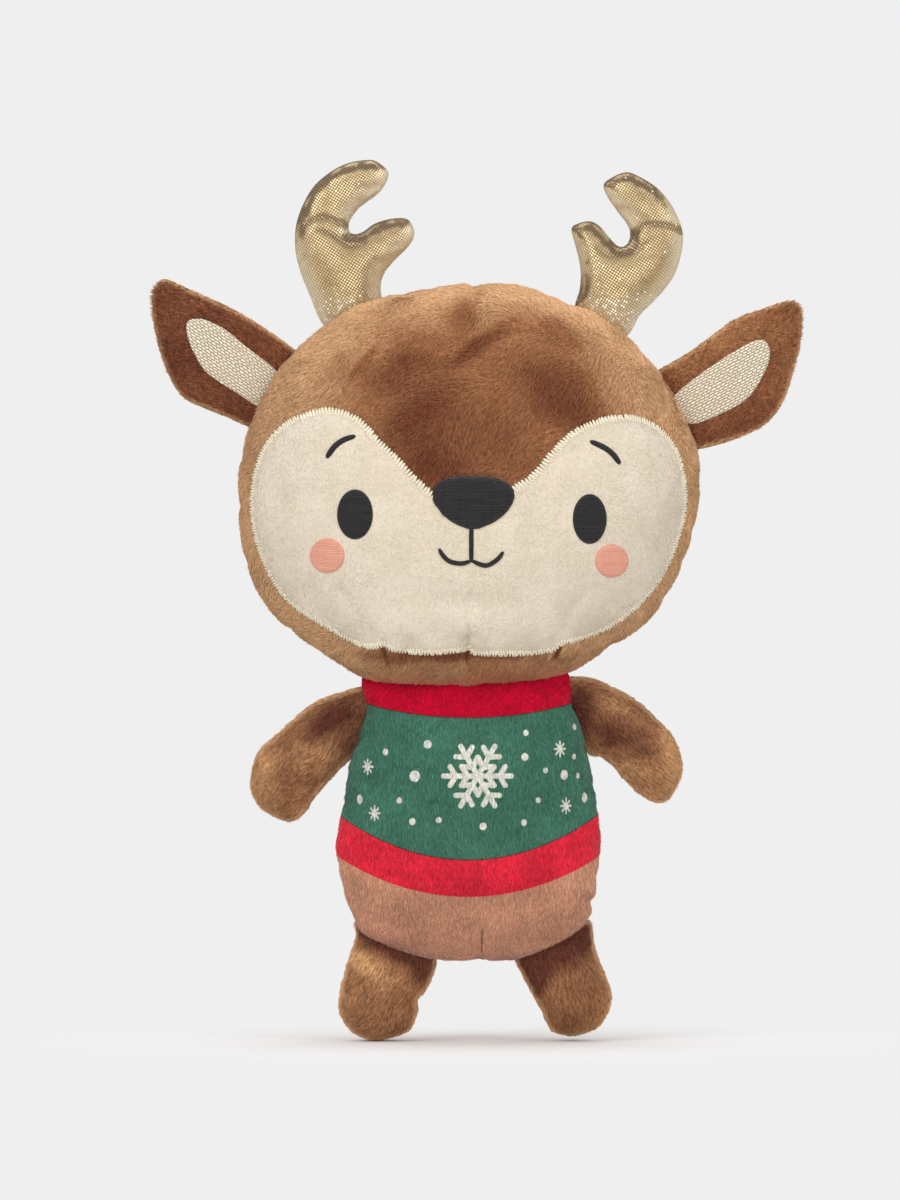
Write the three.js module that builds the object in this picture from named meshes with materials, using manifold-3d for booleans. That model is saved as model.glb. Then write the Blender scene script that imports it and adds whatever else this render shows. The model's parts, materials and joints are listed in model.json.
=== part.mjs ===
// A stuffed fabric deer that faces -Y and stands on its soles at z = 0.
// Its skin is front and back panels that meet in one seam plane.
// Head, body, arms, legs and antlers hold fibre filling.
// Left and right are the deer's own: its left is +X.

import * as THREE from 'three';
import { mergeVertices } from 'three/addons/utils/BufferGeometryUtils.js';
import Module from 'manifold-3d';

const wasm = await Module();
wasm.setup();

// Driving sizes, in millimetres

const headWidth = 137.6;
const headHeight = 121;
const headDepth = 88;
const chinHeight = 106; // underside of the head above the floor

const bodyWidth = 78.8;
const bodyDepth = 62;
const crotchHeight = 23.4; // bottom seam of the body above the floor
const neckHeight = 108; // where body and head meet

const neckPivotHeight = 88; // the head nods about this height
const neckDomeRadius = 31;
const neckDomeWidth = 72;

const earLength = 46.8;
const earWidth = 31.8;
const earThickness = 5.2;
const earInnerThickness = 0.9;

const antlerHeight = 41.4;
const antlerWidth = 37.2;
const antlerThickness = 12.6;
const antlerTipLength = 6.2;
const tineTipLength = 4;

const armReach = 31.5;
const armDrop = 28.5;
const armThickness = 17;
const armTipLength = 6.8;

const legWidth = 25;
const legThickness = 23;

const fabric = 2; // plush with its pile
const clearance = 0.35; // between pieces that lie on each other or are sewn together
const soleBulge = 0.4; // of each sole below its last row
const soleCut = 0.5; // depth of the flat on each sole

const facePanelThickness = 1.2;
const embroidery = 0.8;
const noseEmbroidery = 1.4;
const eyeWidth = 10.4;
const eyeHeight = 14.8;
const cheekWidth = 10.1;
const browStroke = 1.25;
const mouthStroke = 1.4;

const hingeOffset = 1.6; // how far each limb's hinge line lies outside its seam
const weldDistance = 0.0005;

// Swings, in degrees: [backwards, forwards]
const nodSwing = [-8, 8];
const earSwing = [-25, 25];
const antlerSwing = [-15, 15];
const armSwing = [-45, 45];
const legSwing = [-40, 50];
const sweepShares = [0.5, 1]; // of a swing, where a limb's root is cleared
const swollenShare = 0.8; // of a limb's full thickness, where its hollow starts

// Points round each ring. Hollows and fillings take every second one, so that they lie inside the skin.
const headRingPoints = 28;
const bodyRingPoints = 24;
const limbRingPoints = 12;
const neckProfilePoints = 12;
const neckRoundness = 3;
const tipSteps = 3;
const outlineSteps = 2; // between two points of a face outline
const strokeSteps = 4;
const eyePoints = 20;
const cheekPoints = 16;

// Each row of the head: height from the chin, half width and half depth, as shares
const headShares = [
  [0, 0, 0],
  [0.006, 0.36, 0.48],
  [0.022, 0.45, 0.58],
  [0.06, 0.54, 0.65],
  [0.1, 0.64, 0.71],
  [0.17, 0.8, 0.8],
  [0.25, 0.91, 0.88],
  [0.35, 0.97, 0.955],
  [0.47, 1, 1],
  [0.58, 0.992, 1],
  [0.69, 0.95, 0.97],
  [0.78, 0.86, 0.91],
  [0.86, 0.69, 0.8],
  [0.93, 0.505, 0.62],
  [0.975, 0.3, 0.41],
  [0.995, 0.12, 0.2],
  [1, 0, 0],
];

// The same for the body, from the bottom seam to the neck and on into the head
const bodyShares = [
  [0, 0, 0],
  [0.018, 0.37, 0.36],
  [0.06, 0.575, 0.58],
  [0.12, 0.81, 0.77],
  [0.22, 0.94, 0.93],
  [0.33, 0.975, 0.99],
  [0.45, 1, 1],
  [0.56, 0.972, 0.98],
  [0.67, 0.928, 0.95],
  [0.79, 0.862, 0.92],
  [0.92, 0.79, 0.88],
  [1, 0.82, 0.86],
  [1.26, 0.82, 0.86],
];

// Ear rows: height above the root, lower edge and upper edge along the root, half thickness
const earShares = [
  [-0.07, -0.42, 0.42, 0.8],
  [0.16, -0.495, 0.445, 1],
  [0.34, -0.525, 0.462, 1],
  [0.47, -0.515, 0.468, 1],
  [0.6, -0.44, 0.467, 0.95],
  [0.76, -0.25, 0.438, 0.88],
  [0.92, 0.01, 0.385, 0.7],
  [0.985, 0.18, 0.34, 0.45],
];
const earTipShares = [0.26, 1];

// Outline of the ear's embroidered field: along the root and above it
const earInnerShares = [
  [-0.19, 0.02], [-0.215, 0.13], [-0.222, 0.26], [-0.215, 0.4], [-0.165, 0.52], [-0.08, 0.61], [0.02, 0.68],
  [0.12, 0.695], [0.185, 0.66], [0.215, 0.58], [0.225, 0.45], [0.215, 0.3], [0.19, 0.15], [0.165, 0.02],
];

// Antler rows: outer edge (along, above the root), inner edge (along, above), half thickness
const beamShares = [
  [-0.255, -0.09, 0.255, -0.09, 0.85],
  [-0.255, 0.13, 0.285, 0.08, 0.95],
  [-0.25, 0.31, 0.285, 0.28, 1],
  [-0.23, 0.49, 0.25, 0.45, 1],
  [-0.175, 0.65, 0.24, 0.545, 0.96],
  [-0.05, 0.82, 0.31, 0.63, 0.9],
  [0.14, 0.95, 0.415, 0.675, 0.85],
  [0.335, 1, 0.525, 0.7, 0.8],
  [0.525, 0.995, 0.63, 0.735, 0.72],
];
const tineShares = [
  [0.08, 0.5, 0.14, 0.14, 0.78],
  [0.27, 0.52, 0.33, 0.15, 0.78],
  [0.47, 0.52, 0.495, 0.22, 0.75],
  [0.62, 0.495, 0.635, 0.275, 0.66],
];

// Arm rows: outer edge (outwards, down from the root's middle), inner edge (outwards, down), half thickness
const armShares = [
  [-0.11, -0.35, -0.06, 0.36, 0.3],
  [0.02, -0.35, 0.03, 0.38, 0.4],
  [0.17, -0.33, 0.16, 0.46, 0.66],
  [0.37, -0.23, 0.275, 0.53, 0.86],
  [0.59, -0.085, 0.35, 0.63, 0.96],
  [0.8, 0.125, 0.4, 0.755, 1],
  [0.93, 0.335, 0.445, 0.885, 1],
  [1, 0.58, 0.52, 0.985, 0.92],
];

// Leg rows: outer edge (outwards, down), inner edge (outwards, down), half thickness
const legShares = [
  [0.37, -0.26, -0.47, 0.07, 0.28],
  [0.43, -0.13, -0.44, 0.17, 0.36],
  [0.54, 0.04, -0.45, 0.25, 0.6],
  [0.63, 0.27, -0.385, 0.4, 0.82],
  [0.7, 0.49, -0.295, 0.53, 0.96],
  [0.71, 0.65, -0.22, 0.67, 1],
  [0.65, 0.8, -0.16, 0.81, 0.96],
  [0.55, 0.92, -0.07, 0.925, 0.82],
  [0.42, 1, 0.03, 1, 0.52],
];

// Face outline and features: sideways from the head's middle in half widths, up from the chin in head heights
const faceShares = [
  [-0.155, 0.467], [-0.22, 0.5], [-0.31, 0.55], [-0.4, 0.606], [-0.5, 0.657], [-0.625, 0.68], [-0.775, 0.649],
  [-0.875, 0.593], [-0.93, 0.5], [-0.928, 0.42], [-0.85, 0.27], [-0.765, 0.206], [-0.625, 0.149], [-0.485, 0.107],
  [-0.415, 0.1], [-0.335, 0.095], [-0.19, 0.084], [0, 0.1], [0.17, 0.082], [0.365, 0.09], [0.4, 0.105],
  [0.515, 0.126], [0.64, 0.159], [0.75, 0.213], [0.86, 0.29], [0.925, 0.388], [0.935, 0.44], [0.93, 0.514],
  [0.88, 0.594], [0.79, 0.645], [0.675, 0.66], [0.575, 0.653], [0.46, 0.625], [0.37, 0.575], [0.29, 0.52],
  [0.19, 0.482], [0.02, 0.45],
];
const noseShares = [
  [-0.155, 0.469], [-0.125, 0.501], [-0.045, 0.515], [0.015, 0.516], [0.09, 0.513], [0.165, 0.5], [0.194, 0.469],
  [0.17, 0.432], [0.12, 0.407], [0.063, 0.392], [0.015, 0.387], [-0.037, 0.392], [-0.09, 0.41], [-0.137, 0.434],
];
const philtrumShares = [[0.012, 0.376], [0.012, 0.307]];
const mouthCurlShares = [[0.012, 0.309], [-0.03, 0.302], [-0.08, 0.308], [-0.128, 0.34]];
const smileCurlShares = [[0.012, 0.309], [0.07, 0.298], [0.124, 0.312], [0.15, 0.333]];
const mouthShareRows = [philtrumShares, mouthCurlShares, smileCurlShares];

// What differs between the two sides: places up the head or body, and shares of the face
const sides = [
  {
    name: 'right',
    sign: -1,
    earSeamShares: [0.643, 0.829],
    earLean: 0,
    antlerSeamShares: [0.885, 0.958],
    antlerLean: -2,
    armSeamShares: [0.745, 0.985],
    armLift: -1,
    legSeamShares: [0.014, 0.12],
    legSplayShare: 0,
    eyeShares: [-0.488, 0.423],
    cheekShares: [-0.608, 0.323],
    browShares: [[-0.612, 0.561], [-0.578, 0.588], [-0.535, 0.604], [-0.486, 0.616]],
  },
  {
    name: 'left',
    sign: 1,
    earSeamShares: [0.595, 0.787],
    earLean: -5,
    antlerSeamShares: [0.862, 0.943],
    antlerLean: 14,
    armSeamShares: [0.745, 0.985],
    armLift: 5,
    legSeamShares: [0.016, 0.15],
    legSplayShare: 0.15,
    eyeShares: [0.521, 0.412],
    cheekShares: [0.617, 0.31],
    browShares: [[0.521, 0.603], [0.586, 0.586], [0.625, 0.568], [0.651, 0.546]],
  },
];

const looks = {
  headPlush: { color: 0x9a6846, roughness: 0.9, metalness: 0 },
  limbPlush: { color: 0x85553a, roughness: 0.9, metalness: 0 },
  creamPlush: { color: 0xe6d9c6, roughness: 0.9, metalness: 0 },
  printedPlush: { color: 0x46745f, roughness: 0.9, metalness: 0 },
  earEmbroidery: { color: 0xd9ccb2, roughness: 0.8, metalness: 0 },
  blackThread: { color: 0x2b2829, roughness: 0.7, metalness: 0 },
  pinkThread: { color: 0xe3907c, roughness: 0.7, metalness: 0 },
  goldFoil: { color: 0xc6ac80, roughness: 0.4, metalness: 0.7 },
  fibre: { color: 0xf2f0ea, roughness: 1, metalness: 0 },
};

// Working sizes

const panelGap = clearance / 2;
const fillingInset = fabric + clearance;
const headHalf = new THREE.Vector3(headWidth / 2, headDepth / 2, headHeight / 2);
const headMiddle = new THREE.Vector3(0, 0, chinHeight + headHeight / 2);
const bodyHeight = neckHeight - crotchHeight;
const bodyHalf = new THREE.Vector3(bodyWidth / 2, bodyDepth / 2, bodyHeight / 2);
const bodyMiddle = new THREE.Vector3(0, 0, crotchHeight + bodyHeight / 2);
const worldSize = headWidth + headHeight + bodyHeight; // reaches past the deer from anywhere in it
const fine = 1;
const coarse = 2;

// Solids

function solidOf(geometry) {
  const bare = geometry.clone();
  bare.deleteAttribute('normal');
  bare.deleteAttribute('uv');
  const merged = mergeVertices(bare, weldDistance);
  const mesh = new wasm.Mesh({
    numProp: 3,
    vertProperties: new Float32Array(merged.getAttribute('position').array),
    triVerts: new Uint32Array(merged.index.array),
  });
  return new wasm.Manifold(mesh);
}

function geometryOf(solid) {
  const mesh = solid.getMesh();
  const geometry = new THREE.BufferGeometry();
  geometry.setAttribute('position', new THREE.BufferAttribute(new Float32Array(mesh.vertProperties), 3));
  geometry.setIndex(new THREE.BufferAttribute(new Uint32Array(mesh.triVerts), 1));
  geometry.computeVertexNormals();
  return geometry;
}

// Joins rings of points into one closed form. A ring of one point closes its end, and a full ring is closed flat.
function loft(rings) {
  const points = [];
  const faces = [];
  const starts = rings.map((ring) => points.push(...ring) - ring.length);
  for (let row = 0; row + 1 < rings.length; row += 1) {
    const low = rings[row].length;
    const high = rings[row + 1].length;
    const count = Math.max(low, high);
    for (let i = 0; i < count; i += 1) {
      const next = (i + 1) % count;
      const a = starts[row] + (low === 1 ? 0 : i);
      const b = starts[row] + (low === 1 ? 0 : next);
      const c = starts[row + 1] + (high === 1 ? 0 : i);
      const d = starts[row + 1] + (high === 1 ? 0 : next);
      if (low > 1) faces.push([a, b, d]);
      if (high > 1) faces.push([a, d, c]);
    }
  }
  closeEnd(points, faces, rings[0], starts[0], true);
  closeEnd(points, faces, rings.at(-1), starts.at(-1), false);
  if (signedVolume(points, faces) < 0) faces.forEach((face) => face.reverse());
  const geometry = new THREE.BufferGeometry().setFromPoints(points);
  geometry.setIndex(faces.flat());
  return solidOf(geometry);
}

function closeEnd(points, faces, ring, start, isFirst) {
  if (ring.length === 1) return;
  const centre = new THREE.Vector3();
  ring.forEach((point) => centre.add(point));
  points.push(centre.divideScalar(ring.length));
  for (let i = 0; i < ring.length; i += 1) {
    const edge = [start + i, start + ((i + 1) % ring.length)];
    if (isFirst) edge.reverse();
    faces.push([...edge, points.length - 1]);
  }
}

function signedVolume(points, faces) {
  const cross = new THREE.Vector3();
  return faces.reduce((sum, [a, b, c]) => sum + cross.crossVectors(points[b], points[c]).dot(points[a]), 0);
}

// An oval ring in the plane of "across" and Y
function ovalRing(centre, across, halfDepth, count) {
  return Array.from({ length: count }, (_, i) => {
    const angle = (2 * Math.PI * i) / count;
    const point = centre.clone().addScaledVector(across, Math.cos(angle));
    point.y += halfDepth * Math.sin(angle);
    return point;
  });
}

// A ball-like form of level ovals, drawn in on every side by the inset
function roundForm(rows, half, middle, count, inset, grain) {
  const shrink = new THREE.Vector3(1 - inset / half.x, 1 - inset / half.y, 1 - inset / half.z);
  const kept = rows.filter((row, index) => index % grain === 0);
  return loft(kept.map(([heightShare, widthShare, depthShare]) => {
    const rise = half.z * (2 * heightShare - 1) * shrink.z;
    const centre = new THREE.Vector3(middle.x, middle.y, middle.z + rise);
    if (widthShare === 0) return [centre];
    const across = new THREE.Vector3(half.x * widthShare * shrink.x, 0, 0);
    return ovalRing(centre, across, half.y * depthShare * shrink.y, count / grain);
  }));
}

// A limb: rows of an outer and an inner edge point with a half depth, and a rounded tip beyond the last row.
// Its hollow and filling start where the root has swollen.
function limbForm(rows, tipLength, inset, grain) {
  const count = limbRingPoints / grain;
  const hollowDepth = swollenShare * Math.max(...rows.map((row) => row.halfDepth));
  const first = inset === 0 ? 0 : rows.findIndex((row) => row.halfDepth >= hollowDepth);
  const kept = rows.slice(first).map((row) => {
    const across = row.outer.clone().sub(row.inner).divideScalar(2);
    const centre = row.inner.clone().add(across);
    across.setLength(across.length() - inset);
    return { centre, across, halfDepth: row.halfDepth - inset };
  });
  const ahead = kept[1].centre.clone().sub(kept[0].centre).normalize();
  kept[0].centre.addScaledVector(ahead, inset);
  const ovals = kept.map(({ centre, across, halfDepth }) => ovalRing(centre, across, halfDepth, count));
  const last = kept.at(-1);
  const onward = new THREE.Vector3(-last.across.z, 0, last.across.x).normalize();
  if (onward.dot(last.centre) < onward.dot(kept.at(-2).centre)) onward.negate();
  for (let step = 1; step <= tipSteps; step += 1) {
    const angle = (Math.PI / 2) * (step / tipSteps);
    const centre = last.centre.clone().addScaledVector(onward, (tipLength - inset) * Math.sin(angle));
    const across = last.across.clone().multiplyScalar(Math.cos(angle));
    ovals.push(step === tipSteps ? [centre] : ovalRing(centre, across, last.halfDepth * Math.cos(angle), count));
  }
  return loft(ovals);
}

function boxSolid(low, high) {
  const size = high.clone().sub(low);
  const centre = low.clone().add(high).divideScalar(2);
  const geometry = new THREE.BoxGeometry(size.x, size.y, size.z);
  geometry.translate(centre.x, centre.y, centre.z);
  return solidOf(geometry);
}

const lowCorner = new THREE.Vector3(-worldSize, -worldSize, -worldSize);
const highCorner = new THREE.Vector3(worldSize, worldSize, worldSize);
const frontSpace = boxSolid(lowCorner, new THREE.Vector3(worldSize, -panelGap, worldSize));
const backSpace = boxSolid(new THREE.Vector3(-worldSize, panelGap, -worldSize), highCorner);
const underFloor = boxSolid(lowCorner, new THREE.Vector3(worldSize, worldSize, 0));

// The straight prism of an outline in the XZ plane, from the seam plane forwards
function forwardPrism(outline) {
  const geometry = new THREE.ExtrudeGeometry(new THREE.Shape(outline), { depth: worldSize, bevelEnabled: false });
  geometry.rotateX(Math.PI / 2);
  return solidOf(geometry);
}

function smoothOutline(points, steps) {
  const curve = new THREE.CatmullRomCurve3(points.map(([x, z]) => new THREE.Vector3(x, z, 0)), true, 'centripetal');
  return curve.getPoints(points.length * steps).slice(0, -1).map((point) => new THREE.Vector2(point.x, point.y));
}

// The outline of a pen stroke along a curve, with pointed ends
function strokeOutline(points, width) {
  const curve = new THREE.CatmullRomCurve3(points.map(([x, z]) => new THREE.Vector3(x, z, 0)));
  const count = strokeSteps * (points.length - 1);
  const beside = (step, alongShare, sideShare) => {
    const middle = curve.getPointAt(step / count);
    const along = curve.getTangentAt(step / count).multiplyScalar(width / 2);
    return new THREE.Vector2(
      middle.x + along.x * alongShare - along.y * sideShare,
      middle.y + along.y * alongShare + along.x * sideShare,
    );
  };
  const steps = Array.from({ length: count + 1 }, (_, step) => step);
  const leftEdge = steps.map((step) => beside(step, 0, 1));
  const rightEdge = steps.map((step) => beside(step, 0, -1)).reverse();
  return [...leftEdge, beside(count, 1, 0), ...rightEdge, beside(0, -1, 0)];
}

function ovalOutline([centreX, centreZ], width, height, count) {
  return Array.from({ length: count }, (_, i) => {
    const angle = (2 * Math.PI * i) / count;
    return new THREE.Vector2(centreX + (width / 2) * Math.cos(angle), centreZ + (height / 2) * Math.sin(angle));
  });
}

// Head and body

const headForm = (inset, grain) => roundForm(headShares, headHalf, headMiddle, headRingPoints, inset, grain);
const bodyLoft = (inset, grain) => roundForm(bodyShares, bodyHalf, bodyMiddle, bodyRingPoints, inset, grain);

// The rounded top of the body, which the head nods on: a barrel about the nod axis
function neckBarrel(growth) {
  const radius = neckDomeRadius + growth;
  const halfWidth = neckDomeWidth / 2 + growth;
  const profile = [];
  for (let step = 0; step <= neckProfilePoints; step += 1) {
    const along = -Math.cos((Math.PI * step) / neckProfilePoints);
    const isEnd = step === 0 || step === neckProfilePoints;
    const reach = isEnd ? 0 : radius * (1 - Math.abs(along) ** neckRoundness) ** (1 / neckRoundness);
    profile.push(new THREE.Vector2(reach, halfWidth * along));
  }
  const geometry = new THREE.LatheGeometry(profile, headRingPoints);
  geometry.rotateZ(-Math.PI / 2);
  geometry.translate(0, 0, neckPivotHeight);
  return solidOf(geometry);
}

const nodHinge = { point: new THREE.Vector3(0, 0, neckPivotHeight), direction: new THREE.Vector3(1, 0, 0) };
const neckSocket = neckBarrel(clearance);
const abovePivot = boxSolid(new THREE.Vector3(-worldSize, -worldSize, neckPivotHeight), highCorner);
const neckedBody = (inset, grain) => bodyLoft(inset, grain).subtract(abovePivot.subtract(neckBarrel(-inset)));
const grownBody = neckedBody(-clearance, fine);
const grownHead = headForm(-clearance, fine);

function headPieces() {
  const skin = headForm(0, fine).subtract(headForm(fabric, coarse)).subtract(neckSocket);
  return [
    ['head_front', skin.intersect(frontSpace), looks.headPlush],
    ['head_back', skin.intersect(backSpace), looks.headPlush],
    ['head_filling', headForm(fillingInset, coarse).subtract(neckSocket), looks.fibre],
  ];
}

function bodyPieces() {
  const skin = neckedBody(0, fine).subtract(neckedBody(fabric, coarse));
  return [
    ['body_front', skin.intersect(frontSpace), looks.printedPlush],
    ['body_back', skin.intersect(backSpace), looks.printedPlush],
    ['body_filling', neckedBody(fillingInset, coarse), looks.fibre],
  ];
}

// Face

const onFace = ([acrossShare, upShare]) => [headHalf.x * acrossShare, chinHeight + headHeight * upShare];
const onPanel = clearance + facePanelThickness + clearance;

// A layer of the given thickness that follows the head at the given height above its plush, within a prism
function headLayer(prism, lift, thickness) {
  return headForm(-lift - thickness, fine).subtract(headForm(-lift, fine)).intersect(prism);
}

function facePieces() {
  const panelPrism = forwardPrism(smoothOutline(faceShares.map(onFace), outlineSteps));
  const nosePrism = forwardPrism(smoothOutline(noseShares.map(onFace), outlineSteps));
  const strokes = mouthShareRows.map((row) => forwardPrism(strokeOutline(row.map(onFace), mouthStroke)));
  const mouthPrism = strokes.reduce((joined, stroke) => joined.add(stroke));
  const pieces = [
    ['face_panel', headLayer(panelPrism, clearance, facePanelThickness), looks.creamPlush],
    ['nose', headLayer(nosePrism, onPanel, noseEmbroidery), looks.blackThread],
    ['mouth', headLayer(mouthPrism, onPanel, embroidery), looks.blackThread],
  ];
  for (const side of sides) {
    const eye = forwardPrism(ovalOutline(onFace(side.eyeShares), eyeWidth, eyeHeight, eyePoints));
    const cheek = forwardPrism(ovalOutline(onFace(side.cheekShares), cheekWidth, cheekWidth, cheekPoints));
    const brow = forwardPrism(strokeOutline(side.browShares.map(onFace), browStroke));
    pieces.push([`eye_${side.name}`, headLayer(eye, onPanel, embroidery), looks.blackThread]);
    pieces.push([`cheek_${side.name}`, headLayer(cheek, onPanel, embroidery), looks.pinkThread]);
    pieces.push([`brow_${side.name}`, headLayer(brow, onPanel, embroidery), looks.blackThread]);
  }
  return pieces;
}

// Limbs

// The point of a round form's seam at a height share, on one side
function seamPoint(rows, half, middle, sign, heightShare) {
  const upper = rows.findIndex((row) => row[0] >= heightShare);
  const [low, high] = [rows[upper - 1], rows[upper]];
  const widthShare = THREE.MathUtils.mapLinear(heightShare, low[0], high[0], low[1], high[1]);
  return new THREE.Vector3(middle.x + sign * half.x * widthShare, 0, middle.z + half.z * (2 * heightShare - 1));
}

// The root of a limb on its stretch of seam: its middle, the ways up along it and out of it, and its hinge.
// A positive turn about the hinge swings the limb forwards.
function rootOn(rows, half, middle, sign, [lowShare, highShare]) {
  const low = seamPoint(rows, half, middle, sign, lowShare);
  const high = seamPoint(rows, half, middle, sign, highShare);
  const crest = seamPoint(rows, half, middle, sign, (lowShare + highShare) / 2);
  const along = high.clone().sub(low).normalize();
  const outward = new THREE.Vector3(sign * along.z, 0, -sign * along.x);
  const bulge = Math.max(0, crest.sub(low).dot(outward));
  const centre = low.add(high).divideScalar(2);
  const point = centre.clone().addScaledVector(outward, bulge + clearance + hingeOffset);
  return { centre, along, outward, hinge: { point, direction: along.clone().multiplyScalar(-sign) } };
}

const headRoot = (side, seamShares) => rootOn(headShares, headHalf, headMiddle, side.sign, seamShares);
const bodyRoot = (side, seamShares) => rootOn(bodyShares, bodyHalf, bodyMiddle, side.sign, seamShares);

// A seat at rest and, as the limb meets it, halfway to and at both ends of the limb's swing
function sweptSeat(seat, hinge, swing) {
  const turnedBy = (degrees) => {
    const { point, direction } = hinge;
    const move = new THREE.Matrix4().makeTranslation(point.x, point.y, point.z);
    move.multiply(new THREE.Matrix4().makeRotationAxis(direction, THREE.MathUtils.degToRad(degrees)));
    move.multiply(new THREE.Matrix4().makeTranslation(-point.x, -point.y, -point.z));
    return seat.transform(move.elements);
  };
  const stops = sweepShares.flatMap((share) => swing.map((degrees) => -degrees * share));
  return stops.reduce((swept, degrees) => swept.add(turnedBy(degrees)), seat);
}

function skinAndFilling(limb, side, form, seat, look) {
  const whole = form(0, fine).subtract(seat);
  const skin = whole.subtract(form(fabric, coarse));
  return [
    [`${limb}_front_${side.name}`, skin.intersect(frontSpace), look],
    [`${limb}_back_${side.name}`, skin.intersect(backSpace), look],
    [`${limb}_filling_${side.name}`, form(fillingInset, coarse).intersect(whole), looks.fibre],
  ];
}

// Places a pattern on its root, leaning outwards and down by some degrees
function patternOn(root, width, length, leanDegrees) {
  const lean = THREE.MathUtils.degToRad(leanDegrees);
  return (alongShare, outShare) => {
    const flat = new THREE.Vector2(width * alongShare, length * outShare);
    flat.rotateAround(new THREE.Vector2(), lean);
    return root.centre.clone().addScaledVector(root.along, flat.x).addScaledVector(root.outward, flat.y);
  };
}

const rowsOn = (place, shares, thickness) => shares.map(([outerA, outerB, innerA, innerB, depthShare]) => ({
  outer: place(outerA, outerB),
  inner: place(innerA, innerB),
  halfDepth: (thickness / 2) * depthShare,
}));

// Two quilted layers with nothing between them, and the embroidered field on the front one
function ear(side) {
  const root = headRoot(side, side.earSeamShares);
  const place = patternOn(root, earWidth, earLength, side.earLean);
  const form = (growth) => {
    const rings = earShares.map(([outShare, lowShare, highShare, depthShare]) => {
      const across = place(highShare, outShare).sub(place(lowShare, outShare)).divideScalar(2);
      const centre = place(lowShare, outShare).add(across);
      return ovalRing(centre, across, (earThickness / 2) * depthShare + growth, limbRingPoints);
    });
    return loft([...rings, [place(...earTipShares)]]);
  };
  const seat = sweptSeat(grownHead, root.hinge, earSwing);
  const whole = form(0).subtract(seat);
  const points = earInnerShares.map((shares) => place(...shares));
  const innerPrism = forwardPrism(smoothOutline(points.map((point) => [point.x, point.z]), 1));
  const field = form(clearance + earInnerThickness).subtract(form(clearance)).intersect(innerPrism);
  const pieces = [
    [`ear_front_${side.name}`, whole.intersect(frontSpace), looks.limbPlush],
    [`ear_back_${side.name}`, whole.intersect(backSpace), looks.limbPlush],
    [`ear_inner_${side.name}`, field.intersect(frontSpace).subtract(seat), looks.earEmbroidery],
  ];
  return { pieces, hinge: root.hinge, swing: earSwing };
}

function antler(side) {
  const root = headRoot(side, side.antlerSeamShares);
  const place = patternOn(root, antlerWidth, antlerHeight, side.antlerLean);
  const beamRows = rowsOn(place, beamShares, antlerThickness);
  const tineRows = rowsOn(place, tineShares, antlerThickness);
  const form = (inset, grain) => {
    const beam = limbForm(beamRows, antlerTipLength, inset, grain);
    return beam.add(limbForm(tineRows, tineTipLength, inset, grain));
  };
  const seat = sweptSeat(grownHead, root.hinge, antlerSwing);
  return { pieces: skinAndFilling('antler', side, form, seat, looks.goldFoil), hinge: root.hinge, swing: antlerSwing };
}

function arm(side) {
  const root = bodyRoot(side, side.armSeamShares);
  const lift = THREE.MathUtils.degToRad(side.armLift);
  const place = (outShare, downShare) => {
    const flat = new THREE.Vector2(armReach * outShare, -armDrop * downShare);
    flat.rotateAround(new THREE.Vector2(), lift);
    return new THREE.Vector3(root.centre.x + side.sign * flat.x, 0, root.centre.z + flat.y);
  };
  const rows = rowsOn(place, armShares, armThickness);
  const form = (inset, grain) => limbForm(rows, armTipLength, inset, grain);
  const seat = sweptSeat(grownBody, root.hinge, armSwing);
  return { pieces: skinAndFilling('arm', side, form, seat, looks.limbPlush), hinge: root.hinge, swing: armSwing };
}

function leg(side) {
  const root = bodyRoot(side, side.legSeamShares);
  const drop = root.centre.z + soleCut - soleBulge;
  const form = (inset, grain) => {
    const place = (outShare, downShare) => {
      const down = (drop - inset) * downShare;
      const out = legWidth * outShare + down * side.legSplayShare;
      return new THREE.Vector3(root.centre.x + side.sign * out, 0, root.centre.z - down);
    };
    return limbForm(rowsOn(place, legShares, legThickness), soleBulge + inset, inset, grain);
  };
  const seat = sweptSeat(grownBody, root.hinge, legSwing).add(underFloor);
  return { pieces: skinAndFilling('leg', side, form, seat, looks.limbPlush), hinge: root.hinge, swing: legSwing };
}

// Assembly

const deer = new THREE.Group();
deer.name = 'plush_deer';
deer.userData.hinges = { neck_nod: { ...nodHinge, swing: nodSwing } };
const pieces = [...bodyPieces(), ...headPieces(), ...facePieces()];
for (const side of sides) {
  for (const [name, make] of Object.entries({ ear, antler, arm, leg })) {
    const { pieces: limbPieces, hinge, swing } = make(side);
    pieces.push(...limbPieces);
    deer.userData.hinges[`${name}_${side.name}`] = { ...hinge, swing };
  }
}
for (const [name, solid, look] of pieces) {
  const mesh = new THREE.Mesh(geometryOf(solid), new THREE.MeshStandardMaterial(look));
  mesh.name = name;
  deer.add(mesh);
}

// The origin lies on the floor below the middle of the deer's box
const middle = new THREE.Box3().setFromObject(deer).getCenter(new THREE.Vector3());
deer.position.set(-middle.x, -middle.y, 0);

export default deer;
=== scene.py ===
import json
import math
from functools import partial

import bmesh
import bpy
import numpy as np
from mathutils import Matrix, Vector, noise
from mathutils.bvhtree import BVHTree
from mathutils.geometry import delaunay_2d_cdt


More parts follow.
